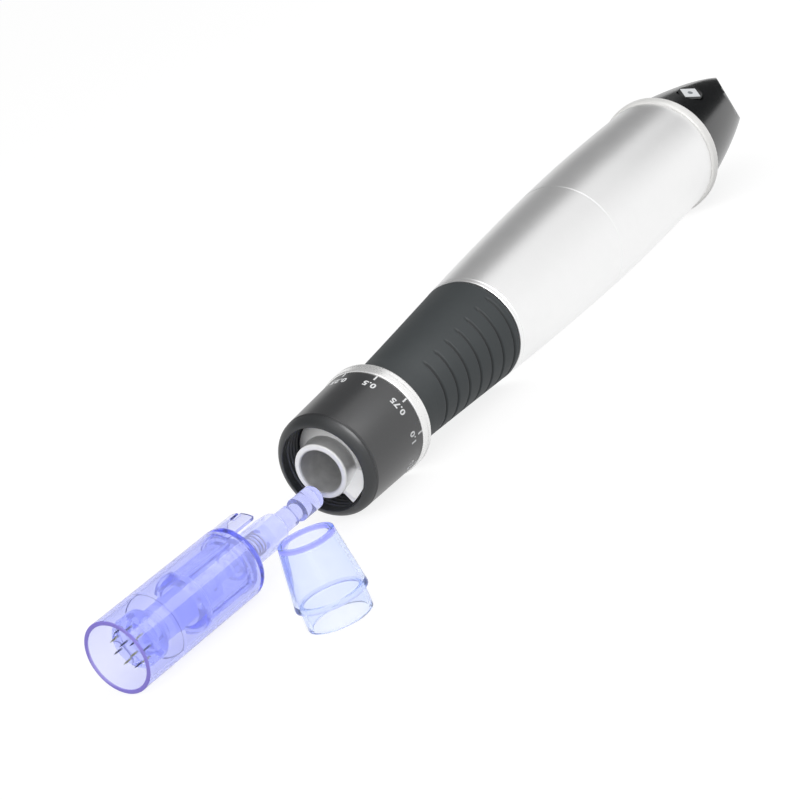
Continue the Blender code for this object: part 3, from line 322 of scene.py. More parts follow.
def seenRay(board):
    path = "ShaderNodeLightPath"
    seen = [board.node(path, out=name) for name in ("Is Camera Ray", "Is Glossy Ray", "Is Transmission Ray")]
    return board.maths("MINIMUM", seen[0] + seen[1] + seen[2], 1)


def makeStudio():
    s = studio
    floor = stagePlane("floor", (s["floorReach"],) * 2, Matrix.Translation((0, 0, s["floorHeight"])))
    paper = Finish("paper", roughness=0.9, specularIORLevel=0.0)
    shade = [c * s["floorShade"] for c in s["floorColour"]]
    colour = paper.blend(paper.noise(0.02, 2.0), s["floorColour"], shade)
    glow = paper.blend(seenRay(paper) * s["floorGlow"], (0, 0, 0), (1, 1, 1))
    colour = paper.blend(s["floorShare"], (0, 0, 0), colour)
    paper.set(baseColor=colour, emissionColor=glow, emissionStrength=1.0)
    floor.data.materials.append(paper.material)

    aim = Vector(s["cardAim"]).normalized()
    place = Matrix.Translation(Vector(s["cardFrom"]) + aim * s["cardFar"]) @ facing(aim)
    mirrorCard("grey_card", s["cardSize"], place, s["cardTone"])
    place = Matrix.Translation(s["streakAt"]) @ facing(Vector(s["streakAim"]).normalized())
    mirrorCard("streak_card", s["streakSize"], place, s["streakTone"])
    place = Matrix.Translation(s["endCardAt"]) @ turned(90, "Y") @ turned(90, "Z")
    mirrorCard("end_card", s["endCardSize"], place, s["endCardTone"])

    for name, settings in s["lamps"].items():
        softbox(name, *settings)
    world = bpy.data.worlds.new("room")
    bpy.context.scene.world = world
    world.use_nodes = True
    sky = NodeBoard(world.node_tree)
    back = world.node_tree.nodes["Background"]
    sky.feed(back.inputs["Strength"], seenRay(sky) * (1 - s["skyLight"]) + s["skyLight"])
    back.inputs["Color"].default_value = (1, 1, 1, 1)
    bpy.context.scene.view_settings.view_transform = "Standard"


makeCamera()
makeStudio()
print("camera and studio set")


# tools for shaping
def cleaned(shape):
    bmesh.ops.remove_doubles(shape, verts=shape.verts, dist=closeBy)
    bmesh.ops.recalc_face_normals(shape, faces=shape.faces)
    return shape


def settle(shape, name, finish, body, solid=None, edge=32):
    # hands a shape in millimetres over as a piece of the object; solid is the node that it stands for
    cleaned(shape)
    shape.transform(places.get(body, penPlace) @ Matrix.Scale(mm, 4))
    mesh = meshOf(shape, name)
    mesh.shade_smooth()
    mesh.set_sharp_from_angle(angle=math.radians(edge))
    mesh.materials.append(finish.material)
    piece = linked(name, mesh)
    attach(piece, body)
    if solid:
        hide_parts(solid)
    return piece


def steadied(outline):
    # points close to the ends of each long side keep its smooth shading straight
    line = []
    for (r, z), (nextR, nextZ) in zip(outline, [*outline[1:], outline[0]]):
        line.append((r, z))
        long = math.hypot(nextR - r, nextZ - z)
        if long > steadyFrom and r and nextR:
            for share in (steadyGap / long, 1 - steadyGap / long):
                line.append((r + (nextR - r) * share, z + (nextZ - z) * share))
    return line


def spun(outline, steps=160, turn=math.tau, start=0.0):
    # turns an outline of (radius, place along Z) about Z
    shape = bmesh.new()
    whole = abs(turn - math.tau) < closeBy
    loop = steadied(outline) if whole else outline
    points = [shape.verts.new((r * math.cos(start), r * math.sin(start), z)) for r, z in loop]
    pairs = list(zip(points, points[1:]))
    if not whole:
        face = shape.faces.new(points)
        geom = [face, *face.edges, *points]
    else:
        if loop[0][0] > 0 or loop[-1][0] > 0:
            pairs.append((points[-1], points[0]))
        geom = points + [shape.edges.new(pair) for pair in pairs]
    bmesh.ops.spin(
        shape, geom=geom, cent=(0, 0, 0), axis=(0, 0, 1), angle=turn, steps=steps, use_merge=whole
    )
    return cleaned(shape)


def arc(r, z, radius, start, end, count):
    angles = [math.radians(angle) for angle in spread(start, end, count)]
    return [(r + radius * math.cos(angle), z + radius * math.sin(angle)) for angle in angles]


def corner(r, z, radius, start, count=3):
    # rounds the corner at (r, z) by a quarter turn, from the angle start down
    out = radius if start in (180, -90) else -radius
    back = radius if start in (0, -90) else -radius
    return arc(r + out, z + back, radius, start, start - 90, count)


def sector(inner, outer, low, high, middle, half, steps=14):
    # a piece of a ring, half degrees to either side of the turn middle
    start = math.radians(middle - half)
    outline = [(inner, low), (outer, low), (outer, high), (inner, high)]
    return spun(outline, steps, math.radians(2 * half), start)


def slab(low, high):
    shape = bmesh.new()
    size = [b - a for a, b in zip(low, high)]
    middle = [(a + b) / 2 for a, b in zip(low, high)]
    place = Matrix.Translation(middle) @ Matrix.Diagonal((*size, 1))
    bmesh.ops.create_cube(shape, size=1, matrix=place)
    return shape


def cylinder(shape, radius1, radius2, depth, place, segments):
    bmesh.ops.create_cone(
        shape, cap_ends=True, segments=segments, radius1=radius1, radius2=radius2, depth=depth, matrix=place
    )


def lifted(z, spot=(0, 0, 0)):
    return Matrix.Translation(Vector(spot) + Vector((0, 0, z)))


def triangulated(shape):
    faces = [face for face in shape.faces if len(face.verts) > manySided]
    bmesh.ops.triangulate(shape, faces=faces)


def spread(start, end, count):
    return [start + (end - start) * i / count for i in range(count + 1)]


def carved(shape, tools):
    # cuts or joins shapes exactly; tools are (shape, matrix or None, operation)
    blank = linked("blank", meshOf(shape, "blank"))
    helpers = []
    for tool, matrix, operation in tools:
        if matrix:
            tool.transform(matrix)
        bmesh.ops.recalc_face_normals(tool, faces=tool.faces)
        helper = linked("tool", meshOf(tool, "tool"))
        helpers.append(helper)
        cut = blank.modifiers.new("cut", "BOOLEAN")
        cut.operation = operation
        cut.solver = "EXACT"
        cut.object = helper
    bpy.context.view_layer.update()
    graph = bpy.context.evaluated_depsgraph_get()
    done = bmesh.new()
    done.from_object(blank, graph)
    for made in [blank, *helpers]:
        bpy.data.objects.remove(made, do_unlink=True)
    return done


def softened(shape, width, segments=2, sharper=35, keep=None):
    # rounds the edges that are sharper than an angle
    limit = math.radians(sharper)
    edges = [e for e in shape.edges if len(e.link_faces) == 2 and e.calc_face_angle(0) > limit]
    if keep:
        edges = [e for e in edges if keep(e)]
    bmesh.ops.bevel(
        shape, geom=edges, offset=width, segments=segments, affect="EDGES", profile=0.5, material=-1,
        clamp_overlap=True,
    )
    return shape


# finishes; zones are the places, in millimetres, between which a finish changes
zones = dict(
    dialInside=(7.7, 8.4), dialLip=(0.25, 0.45), bore=(4.3, 3.95), tubeOuter=(5.25, 5.05),
    tubeInner=(4.6, 4.8), tubeFront=(-2.0, -1.7), shellMouth=(0.05, 0.3), capBandLow=(12.8, 13.1),
    capBandHigh=(13.45, 13.6), capCornerOut=(5.3, 5.6), capCornerHigh=(3.65, 4.0),
)


def metal(name, colour, rough, grainSize, grainDepth, lines=None, place=penPlace):
    made = Finish(name, place, metallic=1.0)
    blotch = made.noise(0.35, 3.0)
    fine = made.noise(grainSize, 4.0, made.stretched(lines) if lines else None)
    shade = [c * 0.93 for c in colour]
    made.set(baseColor=made.blend(fine * 0.6 + blotch * 0.4, shade, colour))
    made.set(roughness=rough * 0.82 + fine * (rough * 0.22) + blotch * (rough * 0.14))
    made.set(normal=made.grain(fine, grainDepth))
    return made


def plastic(name, colour, rough, grainSize=6.0, grainDepth=0.15, patchy=0.25):
    made = Finish(name, penPlace)
    blotch = made.noise(0.25, 2.0)
    fine = made.noise(grainSize, 3.0)
    shade = [c * (1 - patchy) for c in colour]
    made.set(baseColor=made.blend(fine * 0.5 + blotch * 0.5, shade, colour))
    made.set(roughness=rough * 0.88 + fine * (rough * 0.24))
    made.set(normal=made.grain(fine, grainDepth))
    return made


def clearPlastic(name, place, face, deep, density, cloud, glow, bend, edge=None, paintedShadeTone=None, rough=0.05):
    # coloured see-through plastic with a share of cloud that glows as painted light; edge masks the places
    # where painted shade darkens the colour
    made = Finish(name, place, transmissionWeight=1.0, iOR=bend)
    streak = made.noise(0.5, 2.0)
    fine = made.noise(2.2, 3.0)
    made.set(baseColor=made.blend(streak * 0.5, face, [f * 0.93 + d * 0.07 for f, d in zip(face, deep)]))
    made.set(roughness=rough * 0.7 + fine * (rough * 0.6))
    made.set(normal=made.grain(streak * 0.7 + fine * 0.3, 0.12, 0.05))
    tone = made.blend(streak, [d * 0.8 + 0.2 for d in deep], [d * 0.5 + 0.5 for d in deep])
    share = cloud * (0.4 + streak * 1.2)
    # painted shade: where the edge mask is, the cloud thickens and turns towards the darker edge tone
    if edge:
        paintedShade = edge(made)
        share = made.maths("MAXIMUM", share, paintedShade)
        tone = made.blend(made.within(paintedShade, 0.02, 0.3), tone, paintedShadeTone)
    # painted light: the cloud glows with its own tone at the glow strength
    body = made.node(
        "ShaderNodeBsdfPrincipled", None,
        {"Base Color": tone, "Roughness": 0.3, "Emission Color": tone, "Emission Strength": glow},
    )
    made.mix(share, body)
    soak = made.node("ShaderNodeVolumeAbsorption", None, {"Color": (*deep, 1), "Density": density})
    made.feed(made.output.inputs["Volume"], soak)
    return made


def shellPaintedShade(made):
    # painted shade: denser, darker violet cloud at the shell's mouth
    return 0.85 - made.within(made.along(), *zones["shellMouth"]) * 0.85


def capPaintedShade(made):
    # painted shade: darker violet cloud in a band under the top rim and in the step's corner
    up = made.along()
    band = made.within(up, *zones["capBandLow"]) * 0.75 * (1 - made.within(up, *zones["capBandHigh"]))
    corner = made.within(made.offAxis(), *zones["capCornerOut"]) * 0.25
    return made.maths("MAXIMUM", band, corner * (1 - made.within(up, *zones["capCornerHigh"])))


dialBlack = plastic("dial_black", (0.024, 0.025, 0.028), 0.32, 9.0, 0.25, 0.3)
dialBlack.set(specularIORLevel=0.9)
inside = 1 - dialBlack.within(dialBlack.offAxis(), *zones["dialInside"])
speck = dialBlack.within(dialBlack.noise(5.0, 2.0), 0.62, 0.72)
onLip = 1 - dialBlack.within(dialBlack.along(), *zones["dialLip"])
dialBlack.set(baseColor=dialBlack.blend(speck * 0.35, (0.016, 0.017, 0.019), (0.06, 0.061, 0.064)))
dull = dialBlack.maths("MAXIMUM", inside, onLip)
lipRubber = dialBlack.node(
    "ShaderNodeBsdfPrincipled", None,
    {"Base Color": dialBlack.blend(speck, (0.018, 0.020, 0.022), (0.030, 0.032, 0.034)), "Roughness": 0.42,
     "Specular IOR Level": 0.7},
)
dialBlack.mix(dull, lipRubber)

brightMetal = metal("bright_metal", (0.96, 0.96, 0.955), 0.28, 3.0, 0.04)
brightMetal.set(metallic=0.75)
turnedMetal = metal("turned_metal", (0.78, 0.775, 0.77), 0.3, 1.1, 0.1, (0.6, 0.6, 9.0))
off = turnedMetal.offAxis()
# painted shade: inside the bore the colour is painted a darker, mottled grey
paintedBoreShade = turnedMetal.within(off, *zones["bore"])
boreMottle = turnedMetal.noise(0.45, 4.0)
tubeSide = turnedMetal.within(off, *zones["tubeOuter"]) * turnedMetal.within(off, *zones["tubeInner"])
tubeSide = tubeSide * turnedMetal.within(turnedMetal.along(), *zones["tubeFront"])
turnedMetal.set(metallic=0.1 + tubeSide * 0.5)
turnedMetal.set(baseColor=turnedMetal.blend(
    paintedBoreShade,
    turnedMetal.blend(boreMottle, (0.90, 0.90, 0.89), (0.98, 0.98, 0.98)),
    turnedMetal.blend(boreMottle, (0.30, 0.30, 0.30), (0.66, 0.66, 0.65)),
))
rimMetal = metal("rim_metal", (0.95, 0.945, 0.925), 0.3, 3.0, 0.03)
rimMetal.set(metallic=0.2)
satinMetal = metal("satin_metal", (0.93, 0.93, 0.93), 0.38, 7.0, 0.16)
steel = metal("steel", (0.6, 0.6, 0.61), 0.3, 4.0, 0.1)
springWire = metal("spring_wire", (0.38, 0.34, 0.34), 0.35, 5.0, 0.1)
needleSteel = metal("needle_steel", (0.40, 0.41, 0.33), 0.28, 6.0, 0.05, place=cartridgePlace)

rubber = Finish("grip_rubber", penPlace)
rubberFine = rubber.noise(8.0, 4.0)
rubberWide = rubber.noise(0.12, 3.0)
# painted shade: the groove floors, read from the dent attribute, are darkened to near black
paintedGrooveShade = rubber.node("ShaderNodeAttribute", {"attribute_name": "dent"}, out=2)
rubberColour = rubber.blend(rubberWide, (0.028, 0.034, 0.037), (0.038, 0.045, 0.048))
rubber.set(baseColor=rubber.blend(paintedGrooveShade, rubberColour, (0.008, 0.010, 0.011)))
rubber.set(roughness=0.58 + rubberFine * 0.12)
rubber.set(normal=rubber.grain(rubberFine, 0.25, 0.03))

tailBlack = plastic("tail_black", (0.008, 0.009, 0.010), 0.2, 1.5, 0.04, 0.3)
blackPlastic = plastic("black_plastic", (0.02, 0.02, 0.022), 0.5)
whitePlastic = plastic("white_plastic", (0.8, 0.82, 0.84), 0.35, 5.0, 0.05, 0.06)
figurePaint = plastic("figure_paint", (0.86, 0.87, 0.88), 0.5, 8.0, 0.05, 0.05)
softRubber = plastic("soft_rubber", (0.02, 0.02, 0.02), 0.75, 4.0, 0.3)
magnetGrey = plastic("magnet_grey", (0.12, 0.12, 0.13), 0.6, 3.0, 0.2)
dotGrey = plastic("dot_grey", (0.22, 0.24, 0.26), 0.4, 4.0, 0.05, 0.1)
brass = metal("brass", (0.72, 0.55, 0.25), 0.3, 3.0, 0.1)
copper = metal("copper", (0.72, 0.38, 0.22), 0.4, 1.2, 0.3, (0.5, 0.5, 8.0))
boardGreen = plastic("board_green", (0.04, 0.2, 0.09), 0.45, 2.0, 0.1, 0.35)

# the shell's last tone is a painted shade colour, and each cloud glows at the number after its share as
# painted light
shellClear = clearPlastic(
    "shell_clear", cartridgePlace, (0.985, 0.988, 1.0), (0.38, 0.43, 0.985), 380, 0.05, 0.35, 1.25,
    shellPaintedShade, (0.20, 0.16, 0.55),
)
innerClear = clearPlastic(
    "inner_clear", cartridgePlace, (0.96, 0.97, 1.0), (0.42, 0.47, 0.97), 160, 0.2, 0.4, 1.2,
)
# the cap's last tone is a painted shade colour; its cloud glows as painted light
capClear = clearPlastic(
    "cap_clear", capPlace, (0.985, 0.99, 1.0), (0.42, 0.58, 1.0), 190, 0.07, 0.3, 1.2,
    capPaintedShade, (0.32, 0.33, 0.95),
)
print("finishes mixed")


# dial
dial = dict(
    front=9.45, rear=9.98, long=14.65, mouth=7.76, lip=1.5, lipStart=0.35, lipCurve=1.2, lipSteps=12,
    lipFlat=0.1, chamfer=0.15, web=7.2, webFrom=13.05, bore=8.1, boreFrom=9.0, threadFirst=0.3,
    threadPitch=0.95, threads=9, threadDeep=0.22, threadWide=0.56, creaseFrom=0.6, creaseAt=0.33,
    creaseDeep=0.28, steps=200,
)


def dialRadius(along):
    share = (along - dial["lipStart"]) / (dial["long"] - dial["lipStart"])
    return dial["front"] + (dial["rear"] - dial["front"]) * share


def makeDial():
    d = dial
    mouth = d["mouth"]
    lip = []
    for angle in spread(0, math.pi / 2, d["lipSteps"]):
        inward = (d["front"] - mouth - d["lipFlat"]) * max(math.cos(angle), 0) ** d["lipCurve"]
        forward = (d["lipStart"] + d["lip"]) * math.sin(angle) ** d["lipCurve"]
        lip.append((mouth + d["lipFlat"] + inward, d["lipStart"] - forward))
    crease = [(dialRadius(d["creaseFrom"]), d["creaseFrom"]), (d["front"] - d["creaseDeep"], d["creaseAt"])]
    rear = [(d["rear"] - d["chamfer"], d["long"]), (d["rear"], d["long"] - d["chamfer"])]
    wall = [(mouth, d["lipFlat"] - d["lip"])]
    half = d["threadWide"] / 2
    threadR = mouth + d["threadDeep"]
    for index in range(d["threads"]):
        at = d["threadFirst"] + d["threadPitch"] * index
        wall += [(mouth, at - half), (threadR, at - half / 3), (threadR, at + half / 3), (mouth, at + half)]
    wall += [(mouth, d["boreFrom"]), (d["bore"], d["boreFrom"]), (d["bore"], d["webFrom"])]
    wall += [(d["web"], d["webFrom"]), (d["web"], d["long"])]
    # the crease takes the place of the lip's first two points
    shape = spun([*rear, *crease, *lip[2:], *wall], d["steps"])
    settle(shape, "dial_body", dialBlack, "dial", "depth_ring", 40)


figures = dict(
    count=10, step=0.25, first=-2.0, apart=36.0, at=12.0, tall=1.3, proud=0.03, tickFrom=13.42,
    tickTo=14.65, tickWide=0.3, spread=1.1, tallShare=0.72, bold=0.055, joined=0.002,
    resolution=4,
)


def onDial(shape, turn):
    # lays a flat shape on the dial: x runs round it, y runs towards the nose
    for vert in shape.verts:
        along = figures["at"] - vert.co.y
        r = dialRadius(along) + vert.co.z
        angle = turn - vert.co.x / dialRadius(along)
        vert.co = (r * math.cos(angle), r * math.sin(angle), along)


def makeFigures():
    f = figures
    for index in range(f["count"]):
        value = f["step"] * (index + 1)
        words = "%.1f" % value if index % 2 else "%.2f" % value
        turn = math.radians(f["first"] + f["apart"] * index)
        curve = bpy.data.curves.new("words", "FONT")
        curve.body = words
        curve.size = f["tall"] / f["tallShare"]
        curve.extrude = f["proud"] / 2
        curve.offset = f["bold"]
        curve.space_character = f["spread"]
        curve.align_x = curve.align_y = "CENTER"
        curve.resolution_u = f["resolution"]
        text = linked("words", curve)
        bpy.context.view_layer.update()
        mesh = bpy.data.meshes.new_from_object(text.evaluated_get(bpy.context.evaluated_depsgraph_get()))
        shape = bmesh.new()
        shape.from_mesh(mesh)
        bpy.data.objects.remove(text, do_unlink=True)
        bmesh.ops.remove_doubles(shape, verts=shape.verts, dist=f["joined"])
        triangulated(shape)
        shape.transform(lifted(f["proud"] / 2))
        onDial(shape, turn)
        settle(shape, "dial_figure_" + words, figurePaint, "dial", edge=60)
        half = f["tickWide"] / 2
        tick = slab((-half, f["at"] - f["tickTo"], 0), (half, f["at"] - f["tickFrom"], f["proud"]))
        onDial(tick, turn)
        settle(tick, "dial_tick_%d" % (index + 1), figurePaint, "dial")


makeDial()
makeFigures()
print("dial made")


# collar and nozzle
collar = dict(
    start=14.71, to=17.3, r=10.25, inner=7.2, round=0.22, teeth=150, toothDeep=0.06, toothReach=0.1,
    grooveBack=0.3, grooveHalf=0.12, grooveDeep=0.07,
)


def makeCollar():
    c = collar
    mid = (c["start"] + c["to"]) / 2 + c["grooveBack"]
    outline = [
        *corner(c["r"], c["to"], c["round"], 90),
        (c["r"], mid + c["grooveHalf"]),
        (c["r"] - c["grooveDeep"], mid),
        (c["r"], mid - c["grooveHalf"]),
        *corner(c["r"], c["start"], c["round"], 0),
        (c["inner"], c["start"]),
        (c["inner"], c["to"]),
    ]
    shape = spun(outline, c["teeth"] * 2)
    for vert in shape.verts:
        angle = math.atan2(vert.co.y, vert.co.x) / math.tau * c["teeth"] * 2
        r = math.hypot(vert.co.x, vert.co.y)
        behind = vert.co.z > mid + c["grooveHalf"] / 2
        if round(angle) % 2 and r > c["r"] - c["toothReach"] and behind:
            vert.co.xy *= (r - c["toothDeep"]) / r
    settle(shape, "collar_ring", brightMetal, "pen", "index_collar", 50)


nozzle = dict(
    front=-2.15, end=22.0, r=5.0, bore=3.88, round=0.28, shoulder=0.8, flangeAt=3.55, flangeEnd=8.25,
    flange=7.38, slot=1.05, slotFrom=16.2, slotTo=20.55, pocketMid=245.0, pocketHalf=49.3,
    pocketEnd=2.75, pocketFrom=-1.55, rampFrom=112.0, rampTo=153.0, rampHigh=0.9, rampLow=-1.7,
    rampCurve=1.3, rampR=7.36, rampFlat=8, rampSteps=26, rampSunk=(0.4, 0.6), flangeRounds=(0.2, 0.18),
    flangeLow=0.12, shoulderLine=((0.42, 0.46), (0.14, 0.1), (0.02, -0.3)), slotReach=7,
    pocketR=(4.95, 9.0), steps=160,
)


def makeNozzle():
    n = nozzle
    rim = n["round"]
    rearRound, frontRound = n["flangeRounds"]
    outline = [
        (n["r"], n["end"]),
        (n["r"], n["flangeEnd"]),
        *corner(n["flange"], n["flangeEnd"], rearRound, 90, 2),
        *arc(n["flange"] - frontRound, n["flangeAt"] + n["flangeLow"], frontRound, 0, -50, 3),
        *[(n["r"] + out, n["shoulder"] + back) for out, back in n["shoulderLine"]],
        *corner(n["r"], n["front"], rim, 0, 4),
        *corner(n["bore"], n["front"], rim, -90, 4),
        (n["bore"], n["end"]),
    ]
    slot = slab((-n["slot"], -n["slotReach"], n["slotFrom"]), (n["slot"], n["slotReach"], n["slotTo"]))
    pocket = sector(*n["pocketR"], n["pocketFrom"], n["pocketEnd"], n["pocketMid"], n["pocketHalf"])
    half = (n["rampTo"] - n["rampFrom"]) / 2
    inner, end = n["r"] - n["rampSunk"][0], n["flangeAt"] + n["rampSunk"][1]
    ramp = sector(inner, n["rampR"], n["rampLow"], end, n["rampFrom"] + half, half, n["rampSteps"])
    for vert in ramp.verts:
        turn = math.degrees(math.atan2(vert.co.y, vert.co.x))
        share = min(max((turn - n["rampFrom"]) / (2 * half - n["rampFlat"]), 0), 1) ** n["rampCurve"]
        if vert.co.z < n["rampHigh"]:
            vert.co.z = n["rampHigh"] + (n["rampLow"] - n["rampHigh"]) * share
    shape = carved(
        spun(outline, n["steps"]),
        [(slot, None, "DIFFERENCE"), (pocket, None, "DIFFERENCE"), (ramp, None, "UNION")],
    )
    settle(shape, "nozzle_tube", turnedMetal, "nozzle", "nozzle", 20)


makeCollar()
makeNozzle()
print("collar and nozzle made")


# grip
grip = dict(
    start=17.6, long=33.05, front=8.55, waist=8.38, rear=10.15, waistAt=6.0, flare=1.05,
    wall=1.15, grooves=7, grooveFirst=8.5, grooveLast=1.8, grooveHalf=0.36, grooveDeep=0.45,
    grooveStarts=(51.5, 46.5), grooveFade=9.0, edge=0.3, stations=30, clear=1.6, inner=12,
    steps=288,
    # a groove's section: shares of its half width and of its depth
    section=(
        (-1.25, 0), (-1, 0.08), (-0.72, 0.55), (-0.45, 0.92), (0, 1),
        (0.45, 0.92), (0.72, 0.55), (1, 0.08), (1.25, 0),
    ),
)


def gripRadius(along):
    g = grip
    back = along - g["start"]
    if back < g["waistAt"]:
        return g["waist"] + (g["front"] - g["waist"]) * (1 - back / g["waistAt"]) ** 2
    share = (back - g["waistAt"]) / (g["long"] - g["waistAt"])
    return g["waist"] + (g["rear"] - g["waist"]) * share ** g["flare"]


def makeGrip():
    g = grip
    end = g["start"] + g["long"]
    edge = g["edge"]
    middles = spread(g["start"] + g["grooveFirst"], end - g["grooveLast"], g["grooves"] - 1)
    firstStart, lastStart = g["grooveStarts"]
    clear = g["grooveHalf"] * g["clear"]
    plain = spread(g["start"], end, g["stations"])[1:-1]
    stations = {at: 0 for at in plain if min(abs(at - middle) for middle in middles) > clear}
    for middle in middles:
        for side, deep in g["section"]:
            stations[middle + side * g["grooveHalf"]] = deep
    outer = [*corner(gripRadius(end), end, edge, 90)]
    outer += [(gripRadius(at), at) for at in sorted(stations, reverse=True)]
    outer += [*corner(gripRadius(g["start"]), g["start"], edge, 0)]
    inner = [(gripRadius(at) - g["wall"], at) for at in spread(g["start"], end, g["inner"])]
    shape = spun(outer + inner, g["steps"])
    dent = shape.verts.layers.float.new("dent")
    deepAt = {round(at, 4): deep for at, deep in stations.items()}
    for vert in shape.verts:
        r = math.hypot(vert.co.x, vert.co.y)
        deep = deepAt.get(round(vert.co.z, 4), 0)
        if not deep or r < gripRadius(vert.co.z) - g["wall"] / 2:
            continue
        turn = abs(math.degrees(math.atan2(vert.co.y, vert.co.x)))
        back = (vert.co.z - middles[0]) / (middles[-1] - middles[0])
        start = firstStart + (lastStart - firstStart) * back
        share = min(max((turn - start) / g["grooveFade"], 0), 1)
        share = share * share * (3 - 2 * share) * deep
        vert.co.xy *= (r - g["grooveDeep"] * share) / r
        # this share also drives the rubber's painted shade in the grooves
        vert[dent] = share
    settle(shape, "grip_cover", rubber, "pen", "grip_sleeve", 60)


makeGrip()
print("grip made")


# barrel, rim and tail
barrel = dict(
    start=50.95, seam=89.65, rearFrom=89.72, end=132.96, front=10.2, bulge=12.4, bulgeAt=106.2,
    rear=12.05, swell=1.6, bore=9.5, edge=0.2, seamEdge=0.34, seamShare=0.6, couplingFrom=83.15,
    coupling=9.9, couplingWall=0.9, couplingGap=0.3, pocket=10.2, beadAt=51.9, beadDeep=0.1,
    beadHalf=0.12, beadClear=0.5, stations=24, steps=200,
)


def barrelRadius(along):
    b = barrel
    if along < b["bulgeAt"]:
        end, reach, curve = b["front"], b["bulgeAt"] - b["start"], b["swell"]
    else:
        end, reach, curve = b["rear"], b["end"] - b["bulgeAt"], 2
    return b["bulge"] - (b["bulge"] - end) * (abs(along - b["bulgeAt"]) / reach) ** curve


def skin(high, low):
    return [(barrelRadius(at), at) for at in spread(high, low, barrel["stations"])]


def makeBarrel():
    b = barrel
    edge = b["edge"]
    groove = [(b["beadHalf"] * 2, 0), (b["beadHalf"], 0), (0, 1), (-b["beadHalf"], 0)]
    groove = [(b["beadAt"] + off, b["beadDeep"] * deep) for off, deep in groove]
    bead = [(barrelRadius(at) - deep, at) for at, deep in groove]
    pocketFrom = b["couplingFrom"] - b["couplingGap"]
    front = [
        *skin(b["seam"], b["beadAt"] + b["beadClear"]),
        *bead,
        *corner(b["front"], b["start"], edge, 0),
        (b["bore"], b["start"]),
        (b["bore"], pocketFrom),
        (b["pocket"], pocketFrom),
        (b["pocket"], b["seam"]),
    ]
    couplingBore = b["coupling"] - b["couplingWall"]
    rear = [
        *corner(b["rear"], b["end"], edge, 90),
        *skin(b["end"] - edge, b["rearFrom"] + b["seamEdge"]),
        (barrelRadius(b["rearFrom"]) - b["seamEdge"] * b["seamShare"], b["rearFrom"]),
        (b["coupling"], b["rearFrom"]),
        (b["coupling"], b["couplingFrom"]),
        (couplingBore, b["couplingFrom"]),
        (couplingBore, b["rearFrom"]),
        (b["bore"], b["rearFrom"]),
        (b["bore"], b["end"]),
    ]
    for side, outline in (("front", front), ("rear", rear)):
        shape = spun(outline, b["steps"])
        settle(shape, "barrel_" + side, satinMetal, "pen", side + "_barrel", 25)


rim = dict(start=133.0, to=135.4, r=12.6, round=0.6, bore=9.5, steps=200)


def makeRim():
    r = rim
    outline = [
        *corner(r["r"], r["to"], r["round"], 90, 6),
        *corner(r["r"], r["start"], r["round"], 0, 6),
        (r["bore"], r["start"]),
        (r["bore"], r["to"]),
    ]
    settle(spun(outline, r["steps"]), "rim_ring", rimMetal, "pen", "tail_rim", 40)


tail = dict(
    start=135.7, long=37.6, r=11.55, full=1.04, wall=1.3, spigot=9.2, spigotFrom=125.0, spigotWall=1.3,
    cutShare=0.896, cutLean=59.3, cutTurn=79.5, inletShare=0.173, edge=0.3, flat=0.002, onFace=0.01,
    stations=26, over=1, ovalSteps=48, steps=160,
)
button = dict(
    turn=34.0, at=9.6, halfLong=2.6, halfWide=2.5, proud=0.2, flange=0.7, flangeThick=0.8,
    flangeShare=1.25, topShare=0.94, round=0.12, gap=0.3, cutFrom=4, cutTo=14, markProud=0.05,
    markLong=2.4, markWide=2.35, markRound=0.12, dot=0.55, dotShare=0.4, dotSides=32,
    steps=64,
)
inlet = dict(
    bush=2.6, proud=-0.03, bore=1.9, deep=6.5, pin=0.65, pinBack=0.8, pinTip=(0.5, 0.02, 0.35),
    body=3.1, bodyLong=6.0, gap=0.3, round=0.12, steps=64, pinSteps=32,
)
cutFrame = (
    lifted(tail["start"] + tail["long"] * tail["cutShare"])
    @ turned(tail["cutTurn"], "Z") @ turned(tail["cutLean"], "Y")
)
inletFrame = cutFrame @ Matrix.Translation((tail["long"] * tail["inletShare"], 0, 0))
buttonFrame = turned(button["turn"], "Z") @ lifted(tail["start"] + button["at"]) @ turned(90, "Y")


def domeRadius(along):
    share = min(max((along - tail["start"]) / tail["long"], 0), 1)
    return tail["r"] * math.sqrt(1 - share ** tail["full"])


def domeOutline(wall):
    angles = spread(0, math.pi / 2, tail["stations"])[1:]
    stations = [tail["start"] + tail["long"] * math.cos(angle) for angle in angles]
    return [(domeRadius(at) - wall, at) for at in stations if domeRadius(at) > wall]


def plug(r, low, high, steps):
    return spun([(0, high), (r, high), (r, low), (0, low)], steps)


